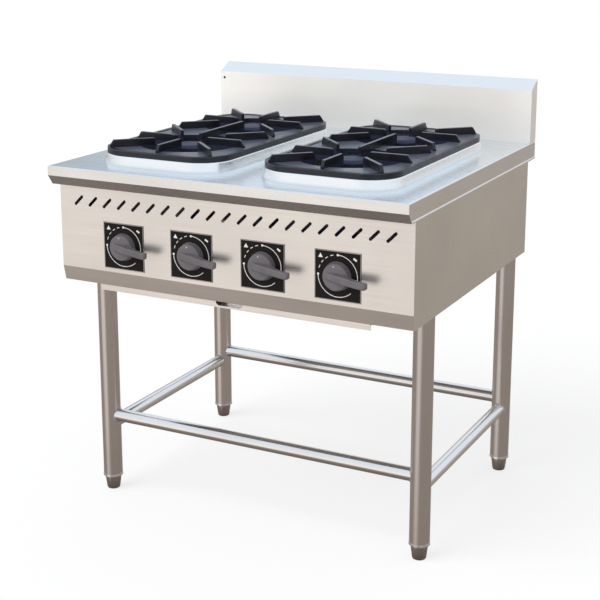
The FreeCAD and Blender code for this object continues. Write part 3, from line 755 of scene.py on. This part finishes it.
def kept(name: str, form: bmesh.types.BMesh, finish: Material, angle: float = SMOOTH_BELOW) -> Piece:
    """Turns a form into a dressed piece.

    Args:
        name: The piece's name.
        form: The form, which is used up.
        finish: The piece's material.
        angle: Edges sharper than this stay sharp.

    Returns:
        The finished piece.
    """
    bmesh.ops.recalc_face_normals(form, faces=form.faces)
    mesh = bpy.data.meshes.new(name)
    form.to_mesh(mesh)
    form.free()
    smoothed(mesh, angle)
    mesh.materials.append(finish)
    return linked(name, mesh)


def turned(name: str, outline: Sequence[Range], at: Vector, steps: int, finish: Material) -> Piece:
    """A shape turned about a vertical line.

    Args:
        name: The piece's name.
        outline: Radius and level of each ring, from the first pole to the last.
        at: A point on the line.
        steps: Facets round the line.
        finish: The piece's material.

    Returns:
        The finished piece.
    """
    form = bmesh.new()
    rings = []
    for radius, level in outline:
        around = [math.tau * k / steps for k in range(steps)] if radius else [0.0]
        places = [(at.x + radius * math.cos(t), at.y + radius * math.sin(t), level) for t in around]
        rings.append([form.verts.new(place) for place in places])
    skin(form, rings)
    return kept(name, form, finish)


@dataclass(frozen=True)
class Thread:
    """A helical ridge along Z that starts at the origin."""

    radius: float
    depth: float
    pitch: float
    facets: int = 24
    ridge_facets: int = 6

    def piece(self, name: str, length: float, finish: Material) -> Piece:
        """Winds the ridge.

        Args:
            name: The piece's name.
            length: How far the ridge rises.
            finish: The piece's material.

        Returns:
            The finished piece.
        """
        pattern = Pattern(name)
        outer, rise, deep, count = pattern.sizes(
            Outer_Radius=self.radius, Pitch=self.pitch, Depth=self.depth, Turns=length / self.pitch
        )
        middle = pattern.math("SUBTRACT", outer, deep)
        spiral = pattern.out(
            "GeometryNodeCurveSpiral",
            Resolution=self.facets,
            Rotations=count,
            Start_Radius=middle,
            End_Radius=middle,
            Height=pattern.math("MULTIPLY", rise, count),
        )
        ridge = pattern.out("GeometryNodeCurvePrimitiveCircle", Resolution=self.ridge_facets, Radius=deep)
        return pattern.made(pattern.swept(spiral, ridge), finish)


def dress(finish: Material, pattern: str, words: Iterable[Any] = ("",)) -> None:
    """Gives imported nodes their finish.

    Args:
        finish: The nodes' material.
        pattern: The nodes' name, with a gap where they differ.
        words: What fills the gap.
    """
    for name in map(pattern.format, words):
        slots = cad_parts[name].data.materials
        slots.clear()
        slots.append(finish)
        LOG.info("dressed %s in %s", name, finish.name)


def carried(piece: Piece, body: str) -> Piece:
    """Puts a piece on a body.

    Args:
        piece: The piece.
        body: The body's name.

    Returns:
        The piece.
    """
    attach(piece, body)
    LOG.info("%s rides on %s, %d faces", piece.name, body, len(piece.data.polygons))
    return piece


@dataclass
class Hob:
    """Worktop, backsplash, grates and burners."""

    finishes: Finishes

    def build(self) -> None:
        """Dresses the pieces on and above the worktop."""
        dress(self.finishes.worktop, "worktop")
        dress(self.finishes.splash, "backsplash")
        dress(self.finishes.grate, "{}_grate", SIDE_NAMES)
        dress(self.finishes.stem, "{}_grate_studs", SIDE_NAMES)
        dress(self.finishes.burner, "burner_{}", CORNER_NAMES)
        dress(self.finishes.burner, "burner_cap_{}", CORNER_NAMES)


@dataclass
class ControlPanel:
    """Front panel with four dial plates and lever knobs."""

    finishes: Finishes
    ring_radius: float = 41 * MM
    ring_line: float = 0.75 * MM
    ring_start: float = math.radians(-25)
    ring_sweep: float = math.radians(115)
    lower_start: float = math.radians(-180)
    lower_sweep: float = math.radians(132)
    arc_points: int = 40
    line_facets: int = 8
    relief: float = 0.16
    dash_count: int = 4
    dash_start: float = math.radians(103)
    dash_step: float = math.radians(17)
    dash_sweep: float = math.radians(9)
    dot_radius: float = 2.3 * MM
    dot_segments: int = 14
    dot_rings: int = 6
    sign_at: float = 36 * MM
    sign_depth: float = 0.32 * MM
    triangle_radius: float = 5.6 * MM
    flag_length: float = 8 * MM
    flag_width: float = 3.6 * MM
    flag_lean: float = math.radians(-32)
    border_line: float = 0.9 * MM
    index_radius: float = 1.6 * MM
    index_height: float = 0.4 * MM
    index_reach: float = 21 * MM
    index_angle: float = math.radians(97)
    index_rings: int = 5
    index_steps: int = 20
    knob_thickness: float = 13 * MM

    def on_plates(self, pattern: Pattern, flat: Socket, finish: Material) -> Piece:
        """Sets a flat drawing upright on every dial plate.

        Args:
            pattern: The tree that holds the drawing.
            flat: The drawing in the XY plane, raised along Z.
            finish: Its material.

        Returns:
            The finished piece.
        """
        upright = pattern.moved(flat, Rotation=(QUARTER, 0.0, 0.0))
        host = point_mesh(pattern.name, (front_of(f"knob_plate_{number}") for number in KNOBS))
        return pattern.made(pattern.repeated(pattern.source, upright), finish, host)

    def line(self, pattern: Pattern, path: Socket, width: Socket) -> Socket:
        """A flat printed line along a path, from half of its width."""
        profile = pattern.out("GeometryNodeCurvePrimitiveCircle", Resolution=self.line_facets, Radius=width)
        return pattern.moved(pattern.swept(path, profile), Scale=(1.0, 1.0, self.relief))

    def arc(self, pattern: Pattern, radius: Socket, start: float, sweep: float) -> Socket:
        """Part of a circle as a curve, from its first angle and the angle that it covers."""
        inputs = {"Resolution": self.arc_points, "Radius": radius, "Start_Angle": start, "Sweep_Angle": sweep}
        return pattern.out("GeometryNodeCurveArc", {"mode": "RADIUS"}, **inputs)

    def marks(self) -> Piece:
        """Ring, dashes, dots and corner signs of all four dials.

        Returns:
            The finished piece.
        """
        pattern = Pattern("dial_marks")
        radius, width, dot = pattern.sizes(
            Ring_Radius=self.ring_radius, Line_Half_Width=self.ring_line, Dot_Radius=self.dot_radius
        )
        arcs = [(self.ring_start, self.ring_sweep), (self.lower_start, self.lower_sweep)]
        arcs += [(self.dash_start + k * self.dash_step, self.dash_sweep) for k in range(self.dash_count)]
        shapes = [self.line(pattern, self.arc(pattern, radius, *each), width) for each in arcs]
        ball = pattern.out(
            "GeometryNodeMeshUVSphere", Segments=self.dot_segments, Rings=self.dot_rings, Radius=dot
        )
        flat_dot = pattern.moved(ball, Scale=(1.0, 1.0, self.relief))
        left = pattern.math("MULTIPLY", radius, -1.0)
        for at in (pattern.vector(y=radius), pattern.vector(x=left)):
            shapes.append(pattern.moved(flat_dot, Translation=at))
        triangle = pattern.out(
            "GeometryNodeMeshCylinder", Vertices=3, Radius=self.triangle_radius, Depth=self.sign_depth
        )
        flag = pattern.out("GeometryNodeMeshCube", Size=(self.flag_length, self.flag_width, self.sign_depth))
        for sign, side, lean in ((triangle, Side.LEFT, QUARTER), (flag, Side.RIGHT, self.flag_lean)):
            corner = (side.value * self.sign_at, self.sign_at, 0.0)
            shapes.append(pattern.moved(sign, Translation=corner, Rotation=(0.0, 0.0, lean)))
        drawing = pattern.add("GeometryNodeJoinGeometry")
        for shape in shapes:
            pattern.feed(drawing.inputs[0], shape)
        return self.on_plates(pattern, drawing.outputs[0], self.finishes.ink)

    def borders(self) -> Piece:
        """A thin bare-metal line round each dial plate.

        Returns:
            The finished piece.
        """
        low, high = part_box(f"knob_plate_{KNOBS[0]}")
        pattern = Pattern("plate_borders")
        side, width = pattern.sizes(Plate_Side=high.x - low.x, Line_Half_Width=self.border_line)
        inner = pattern.math("SUBTRACT", side, pattern.math("MULTIPLY", width, 2.0))
        path = pattern.out("GeometryNodeCurvePrimitiveQuadrilateral", Width=inner, Height=inner)
        return self.on_plates(pattern, self.line(pattern, path, width), self.finishes.border)

    def index_dot(self, number: int) -> Piece:
        """A raised pale grey dot near the rim of a knob's face.

        Args:
            number: The knob's number from the left.

        Returns:
            The finished piece.
        """
        at = front_of(f"knob_plate_{number}")
        at.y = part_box(f"knob_{number}")[1].y - self.knob_thickness
        at += Vector((math.cos(self.index_angle), 0, math.sin(self.index_angle))) * self.index_reach
        leans = [QUARTER * k / self.index_rings for k in range(self.index_rings + 1)]
        outline = [(self.index_radius * math.sin(t), self.index_height * math.cos(t)) for t in leans]
        outline += [(self.index_radius, -self.index_height), (0, -self.index_height)]
        piece = turned(f"knob_{number}_index", outline, Vector(), self.index_steps, self.finishes.index)
        piece.data.transform(Matrix.Translation(at) @ Matrix.Rotation(QUARTER, 4, "X"))
        return piece

    def build(self) -> None:
        """Dresses the panel and makes its dials."""
        dress(self.finishes.panel, "front_panel")
        dress(self.finishes.plate, "knob_plate_{}", KNOBS)
        dress(self.finishes.knob, "knob_{}", KNOBS)
        dress(self.finishes.stem, "valve_stem_{}", KNOBS)
        carried(self.marks(), "stand")
        carried(self.borders(), "stand")
        for number in KNOBS:
            carried(self.index_dot(number), f"knob_{number}_body")


@dataclass
class Cabinet:
    """Side and rear panels, drip tray, runners and burner rails."""

    finishes: Finishes
    screw_rows: int = 4
    screw_edge: float = 9 * MM
    screw_low: float = 18 * MM
    screw_high: float = 176 * MM
    screw_radius: float = 4.2 * MM
    screw_rise: float = 0.55
    screw_segments: int = 20
    screw_rings: int = 10
    recess_length: float = 5.0 * MM
    recess_width: float = 0.9 * MM
    recess_at: float = 0.8
    sheet: float = 1.2 * MM
    strip_half: float = 345 * MM
    strip_overlap: float = 6 * MM
    strip_lip: float = 8 * MM
    strip_gap: float = 0.2 * MM

    def screws(self) -> Piece:
        """Two columns of round-head screws that hold the rear panel.

        Returns:
            The finished piece.
        """
        low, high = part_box("rear_panel")
        step = (self.screw_high - self.screw_low) / (self.screw_rows - 1)
        places = [
            (x, high.y, low.z + self.screw_low + row * step)
            for x in (low.x + self.screw_edge, high.x - self.screw_edge)
            for row in range(self.screw_rows)
        ]
        pattern = Pattern("rear_panel_screws")
        radius, long, wide = pattern.sizes(
            Head_Radius=self.screw_radius, Recess_Length=self.recess_length, Recess_Width=self.recess_width
        )
        ball = pattern.out(
            "GeometryNodeMeshUVSphere", Segments=self.screw_segments, Rings=self.screw_rings, Radius=radius
        )
        cut = pattern.add("GeometryNodeMeshBoolean", {"operation": "DIFFERENCE"})
        pattern.feed(cut.inputs[0], pattern.moved(ball, Scale=(1.0, self.screw_rise, 1.0)))
        outward = pattern.vector(y=pattern.math("MULTIPLY", radius, self.recess_at))
        for size in (pattern.vector(long, radius, wide), pattern.vector(wide, radius, long)):
            bar = pattern.out("GeometryNodeMeshCube", Size=size)
            pattern.feed(cut.inputs[1], pattern.moved(bar, Translation=outward))
        heads = pattern.repeated(pattern.source, cut.outputs[0])
        return pattern.made(heads, self.finishes.stem, point_mesh(pattern.name, places))

    def closing_strip(self) -> Piece:
        """A folded strip on the rear panel's flange that closes the slot behind the drip tray: a sheet put in
        so that the vent slots show shade instead of the floor.

        Returns:
            The finished piece.
        """
        rear_low, rear_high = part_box("rear_panel")
        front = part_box("drip_tray")[1].y - self.strip_overlap
        back = rear_high.y - self.sheet - self.strip_gap
        low = rear_low.z + self.sheet + self.strip_gap
        lip, top = low + self.strip_lip, low + self.sheet
        inner = front + self.sheet
        section = [(back, low), (front, low), (front, lip), (inner, lip), (inner, top), (back, top)]
        form = bmesh.new()
        reach = [side.value * self.strip_half for side in Side]
        ends = [[form.verts.new((x, y, z)) for y, z in section] for x in reach]
        for corners in ends:
            form.faces.new(corners)
        skin(form, ends)
        return kept("rear_closing_strip", form, self.finishes.zinc)

    def build(self) -> None:
        """Dresses the panels, sets the screws and closes the slot behind the tray with a sheet put in for
        shade.
        """
        dress(self.finishes.sheet_y, "{}_side_panel", SIDE_NAMES)
        dress(self.finishes.sheet_x, "drip_tray")
        dress(self.finishes.panel, "tray_front")
        dress(self.finishes.zinc, "rear_panel")
        dress(self.finishes.zinc, "{}_tray_runner", SIDE_NAMES)
        dress(self.finishes.zinc, "{}_burner_rail", END_NAMES)
        carried(self.screws(), "stand")
        carried(self.closing_strip(), "stand")


@dataclass
class Legs:
    """Tube legs, stretchers, welds and levelling feet."""

    finishes: Finishes
    leg_x: float = 371.8 * MM
    leg_front: float = -216 * MM
    leg_rear: float = 276 * MM
    leg_radius: float = 21 * MM
    bar_radius: float = 14 * MM
    cross_level: float = 177 * MM
    side_level: float = 153 * MM
    seam_points: int = 64
    bead_count: int = 30
    bead_radius: float = 1.9 * MM
    bead_detail: int = 2
    bead_form: Place = (0.7, 1.0, 0.55)
    bead_smooth: float = math.radians(80)
    foot_steps: int = 48
    foot_height: float = 32 * MM
    foot_top: float = 17.5 * MM
    foot_sole: float = 14.5 * MM
    foot_shoulder: float = 6 * MM
    sole_round: float = 3 * MM
    sole_bulge: Range = (0.35, 0.3)
    edge_round: float = 0.8 * MM
    stem_length: float = 56 * MM
    stem_point: float = 1.2 * MM
    stem_thread: Thread = Thread(radius=6 * MM, depth=0.8 * MM, pitch=1.75 * MM)

    def leg_at(self, end: End, side: Side) -> Vector:
        """The middle of a leg on the floor."""
        return Vector((side.value * self.leg_x, self.leg_front if end is End.FRONT else self.leg_rear, 0))

    def joints(self) -> Mesh:
        """A point with its turn about Z at every joint of a stretcher and a leg.

        Returns:
            The mesh of these points.
        """
        places, turns = [], []
        for end, side in CORNERS:
            at = self.leg_at(end, side)
            places += [(at.x, at.y, self.cross_level), (at.x, at.y, self.side_level)]
            turns += [0.0 if side is Side.LEFT else math.pi, -end.value * QUARTER]
        mesh = point_mesh("stretcher_welds", places)
        turn = mesh.attributes.new("turn", "FLOAT_VECTOR", "POINT")
        for value, angle in zip(turn.data, turns):
            value.vector = (0.0, 0.0, angle)
        return mesh

    def welds(self) -> Piece:
        """Rippled weld beads where the stretchers meet the legs.

        Returns:
            The finished piece.
        """
        pattern = Pattern("stretcher_welds")
        leg, bar, bead, count = pattern.sizes(
            Leg_Radius=self.leg_radius,
            Bar_Radius=self.bar_radius,
            Bead_Radius=self.bead_radius,
            Bead_Count=self.bead_count,
        )
        circle = pattern.out("GeometryNodeCurvePrimitiveCircle", Resolution=self.seam_points, Radius=bar)
        x, y, _ = pattern.split(pattern.out("GeometryNodeInputPosition"))
        square = pattern.math("SUBTRACT", pattern.math("POWER", leg, 2.0), pattern.math("POWER", x, 2.0))
        saddle = pattern.vector(pattern.math("POWER", square, 0.5), x, y)
        seam = pattern.out("GeometryNodeSetPosition", Geometry=circle, Position=saddle)
        points = pattern.add("GeometryNodeCurveToPoints", {"mode": "COUNT"}, Curve=seam, Count=count).outputs
        ball = pattern.out("GeometryNodeMeshIcoSphere", Radius=bead, Subdivisions=self.bead_detail)
        ripple = pattern.moved(ball, Scale=self.bead_form)
        beads = pattern.repeated(points[0], ripple, Rotation=points["Rotation"])
        turn = pattern.out("GeometryNodeInputNamedAttribute", {"data_type": "FLOAT_VECTOR"}, Name="turn")
        around = pattern.repeated(pattern.source, beads, Rotation=turn)
        piece = pattern.made(around, self.finishes.weld, self.joints())
        smoothed(piece.data, self.bead_smooth)
        return piece

    def foot(self, end: End, side: Side) -> Piece:
        """The tapered foot with the plain core of its stem.

        Args:
            end: Front or rear.
            side: Left or right.

        Returns:
            The finished piece.
        """
        core = self.stem_thread.radius - self.stem_thread.depth
        top = self.foot_height + self.stem_length
        bulge_in, bulge_up = (part * self.sole_round for part in self.sole_bulge)
        outline = [
            (0, 0),
            (self.foot_sole - self.sole_round, 0),
            (self.foot_sole - bulge_in, bulge_up),
            (self.foot_sole, self.sole_round),
            (self.foot_top, self.foot_height - self.foot_shoulder),
            (self.foot_top, self.foot_height - self.edge_round),
            (self.foot_top - self.edge_round, self.foot_height),
            (core, self.foot_height),
            (core, top - self.stem_point),
            (core - self.stem_point, top),
            (0, top),
        ]
        name = f"threaded_foot_{corner_name(end, side)}"
        return turned(name, outline, self.leg_at(end, side), self.foot_steps, self.finishes.foot)

    def thread(self, end: End, side: Side) -> Piece:
        """The thread on a foot's stem.

        Args:
            end: Front or rear.
            side: Left or right.

        Returns:
            The finished piece.
        """
        pitch = self.stem_thread.pitch
        length = self.stem_length - 2 * pitch - self.stem_point
        name = f"foot_thread_{corner_name(end, side)}"
        piece = self.stem_thread.piece(name, length, self.finishes.foot)
        start = self.leg_at(end, side) + Vector((0, 0, self.foot_height + pitch))
        piece.data.transform(Matrix.Translation(start))
        return piece

    def build(self) -> None:
        """Dresses the tubes and makes welds and feet."""
        dress(self.finishes.tube_z, "leg_{}", CORNER_NAMES)
        dress(self.finishes.ring, "foot_insert_{}", CORNER_NAMES)
        dress(self.finishes.tube_x, "{}_stretcher", END_NAMES)
        dress(self.finishes.tube_y, "{}_stretcher", SIDE_NAMES)
        dress(self.finishes.stem, "leg_plugs")
        carried(self.welds(), "stand")
        for end, side in CORNERS:
            name = corner_name(end, side)
            foot = carried(self.foot(end, side), f"foot_{name}_body")
            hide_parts(f"foot_{name}")
            carried(self.thread(end, side), f"foot_{name}_body")


@dataclass
class GasLine:
    """Valves, jets, manifold and the rear inlet."""

    finishes: Finishes
    hex_width: float = 30 * MM
    hex_length: float = 14 * MM
    hex_chamfer: float = 1.6 * MM
    hex_smooth: float = math.radians(20)
    thread_length: float = 22 * MM
    inlet_thread: Thread = Thread(radius=10.48 * MM, depth=1.0 * MM, pitch=1.814 * MM)
    bore: float = 7.5 * MM
    steps: int = 48

    def hexagon(self, angle: float) -> float:
        """Radius of the hexagon at an angle from the middle of one of its sides."""
        return self.hex_width / 2 / math.cos((angle + math.pi / 6) % (math.pi / 3) - math.pi / 6)

    def inlet(self) -> Piece:
        """The chamfered hexagon with the core of its thread and its bore.

        Returns:
            The finished piece.
        """
        middle = front_of("gas_inlet")
        depth = self.inlet_thread.depth
        core = self.inlet_thread.radius - depth
        end = self.hex_length + self.thread_length
        around = [math.tau * k / self.steps for k in range(self.steps)]
        sides = [self.hexagon(t + QUARTER) for t in around]
        outline = [
            (0.0, self.hex_width / 2),
            (self.hex_chamfer, sides),
            (self.hex_length - self.hex_chamfer, sides),
            (self.hex_length, self.hex_width / 2),
            (self.hex_length, core),
            (end - depth, core),
            (end, core - depth),
            (end, self.bore),
            (0.0, self.bore),
        ]
        form = bmesh.new()
        rings = []
        for level, size in outline:
            radii = size if size is sides else [size] * self.steps
            offsets = [Vector((r * math.cos(t), level, r * math.sin(t))) for r, t in zip(radii, around)]
            rings.append([form.verts.new(middle + offset) for offset in offsets])
        skin(form, [*rings, rings[0]])
        return kept("gas_inlet_fitting", form, self.finishes.brass, self.hex_smooth)

    def thread(self) -> Piece:
        """The male thread of the inlet.

        Returns:
            The finished piece.
        """
        pitch = self.inlet_thread.pitch
        length = self.thread_length - 2 * pitch
        piece = self.inlet_thread.piece("gas_inlet_thread", length, self.finishes.brass)
        start = front_of("gas_inlet") + Vector((0, self.hex_length + pitch, 0))
        piece.data.transform(Matrix.Translation(start) @ Matrix.Rotation(-QUARTER, 4, "X"))
        return piece

    def build(self) -> None:
        """Dresses the gas line and makes its threaded inlet."""
        dress(self.finishes.brass, "gas_valve_{}", KNOBS)
        dress(self.finishes.brass, "injectors")
        dress(self.finishes.pipe, "gas_manifold")
        fitting = carried(self.inlet(), "stand")
        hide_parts("gas_inlet")
        carried(self.thread(), "stand")


@dataclass(frozen=True)
class Patch:
    """A soft round patch of the surroundings that the metal mirrors."""

    toward: Place
    colour: Colour
    inner: float
    outer: float

    def share(self, graph: Graph, direction: Socket) -> Socket:
        """How much of the patch shows along each ray.

        Args:
            graph: The world's graph.
            direction: The ray's direction.

        Returns:
            The output that is one in the patch and zero outside it.
        """
        axis = Vector(self.toward).normalized()
        near = graph.fed("ShaderNodeVectorMath", (direction, axis), operation="DOT_PRODUCT")["Value"]
        edge, full = math.cos(self.outer), math.cos(self.inner)
        return graph.eased(near, edge, full)


@dataclass
class Studio:
    """Pale floor, soft light, surroundings for the metal to mirror, and the camera."""

    floor_half: float = 60.0
    floor_glow: float = 0.72
    floor_colour: Colour = (0.98, 0.98, 0.98)
    eye: Place = (1.2716, -2.4986, 1.27295)
    look_at: Place = (-0.12721, 0.23135, 0.55299)
    lens: float = 79.34
    sensor: float = 36.0
    shift: float = -80 / 600
    sight: float = 200.0
    ambient: Colour = (0.67, 0.68, 0.69)
    key_strength: float = 1.8
    key_angle: float = math.radians(50)
    key_from: Place = (-0.55, -0.75, 0.9)
    lobe: Patch = Patch((-0.4, -0.888, -0.225), (1.0, 0.965, 0.93), math.radians(13), math.radians(30))
    lobe_floor: Range = (-0.52, -0.34)
    dusk: Patch = Patch((-0.739, 0.654, 0.16), (0.38, 0.42, 0.45), math.radians(12), math.radians(18))
    bands: tuple[tuple[float, Colour], ...] = (
        (-1.0, (0.16, 0.135, 0.12)),
        (-0.8, (0.2, 0.172, 0.155)),
        (-0.6, (0.3, 0.262, 0.24)),
        (-0.22, (0.4, 0.362, 0.32)),
        (-0.04, (0.5, 0.47, 0.43)),
        (0.06, (0.84, 0.87, 0.9)),
        (0.25, (0.85, 0.92, 1.0)),
        (0.55, (0.84, 0.915, 1.0)),
        (1.0, (0.78, 0.87, 0.95)),
    )

    def floor(self) -> None:
        """A plain floor that is white to the eye and keeps the shadow."""
        half = self.floor_half
        mesh = bpy.data.meshes.new("floor")
        mesh.from_pydata(
            [(-half, -half, 0), (half, -half, 0), (half, half, 0), (-half, half, 0)], [], [(0, 1, 2, 3)]
        )
        recipe = Recipe("floor_paper")
        recipe.tree.nodes.remove(recipe.surface)
        seen = recipe.add("ShaderNodeLightPath").outputs["Is Camera Ray"]
        paper = recipe.out("ShaderNodeBsdfDiffuse", Color=opaque(self.floor_colour))
        glow = recipe.out("ShaderNodeEmission")
        share = recipe.spread(seen, 0.0, 1.0, 0.0, self.floor_glow)
        recipe.feed(recipe.output.inputs["Surface"], recipe.blended(share, paper, glow))
        mesh.materials.append(recipe.material)
        piece = linked("floor", mesh)
        piece.visible_glossy = False

    def banded(self, graph: Graph, height: Socket) -> Socket:
        """The surroundings' colour from straight down to straight up.

        Args:
            graph: The world's graph.
            height: How far the ray points up, from minus one to one.

        Returns:
            The colour's output.
        """
        node = graph.add("ShaderNodeValToRGB")
        graph.feed(node.inputs[0], graph.spread(height, -1.0, 1.0))
        stops = node.color_ramp.elements
        while len(stops) < len(self.bands):
            stops.new(0.5)
        for stop, (level, _) in zip(stops, self.bands):
            stop.position = (level + 1) / 2
        for stop, (_, colour) in zip(stops, self.bands):
            stop.color = opaque(colour)
        return node.outputs["Color"]

    def world(self) -> None:
        """White to the eye, soft light all round, and bands of light and shade in the metal."""
        world = bpy.data.worlds.new("studio")
        bpy.context.scene.world = world
        world.use_nodes = True
        graph = Graph(world.node_tree)
        direction = graph.add("ShaderNodeTexCoord").outputs["Generated"]
        height = graph.split(direction)[2]
        bands = self.banded(graph, height)
        shaded = graph.mixed(self.dusk.share(graph, direction), bands, self.dusk.colour)
        above = graph.eased(height, *self.lobe_floor)
        lit = graph.math("MULTIPLY", self.lobe.share(graph, direction), above)
        mirrored = graph.mixed(lit, shaded, self.lobe.colour)
        colours = (self.ambient, mirrored, WHITE)
        soft, mirror, white = (graph.out("ShaderNodeBackground", Color=opaque(each)) for each in colours)
        rays = graph.add("ShaderNodeLightPath").outputs
        for_metal = graph.blended(rays["Is Glossy Ray"], soft, mirror)
        graph.add("ShaderNodeOutputWorld", Surface=graph.blended(rays["Is Camera Ray"], for_metal, white))

    def key(self) -> None:
        """A broad soft lamp from the front left."""
        lamp = bpy.data.lights.new("key", "SUN")
        lamp.energy = self.key_strength
        lamp.angle = self.key_angle
        piece = linked("key", lamp)
        piece.rotation_euler = Vector(self.key_from).to_track_quat("Z", "Y").to_euler()
        piece.visible_glossy = False

    def camera(self) -> None:
        """The eye at the photograph's place."""
        data = bpy.data.cameras.new("eye")
        data.lens = self.lens
        data.sensor_width = self.sensor
        data.shift_y = self.shift
        data.clip_end = self.sight
        piece = linked("eye", data)
        piece.location = self.eye
        piece.rotation_euler = (Vector(self.look_at) - Vector(self.eye)).to_track_quat("-Z", "Y").to_euler()
        bpy.context.scene.camera = piece

    def build(self) -> None:
        """Sets up the whole studio."""
        bpy.context.scene.view_settings.view_transform = "Standard"
        self.floor()
        self.world()
        self.key()
        self.camera()
        LOG.info("studio is set")


def main() -> None:
    """Builds the stove's looks and the studio round it."""
    logging.basicConfig(level=logging.INFO, format="%(name)s: %(message)s")
    finishes = Finishes()
    for assembly in (Hob, ControlPanel, Cabinet, Legs, GasLine):
        assembly(finishes).build()
    Studio().build()


if __name__ == "__main__":
    main()
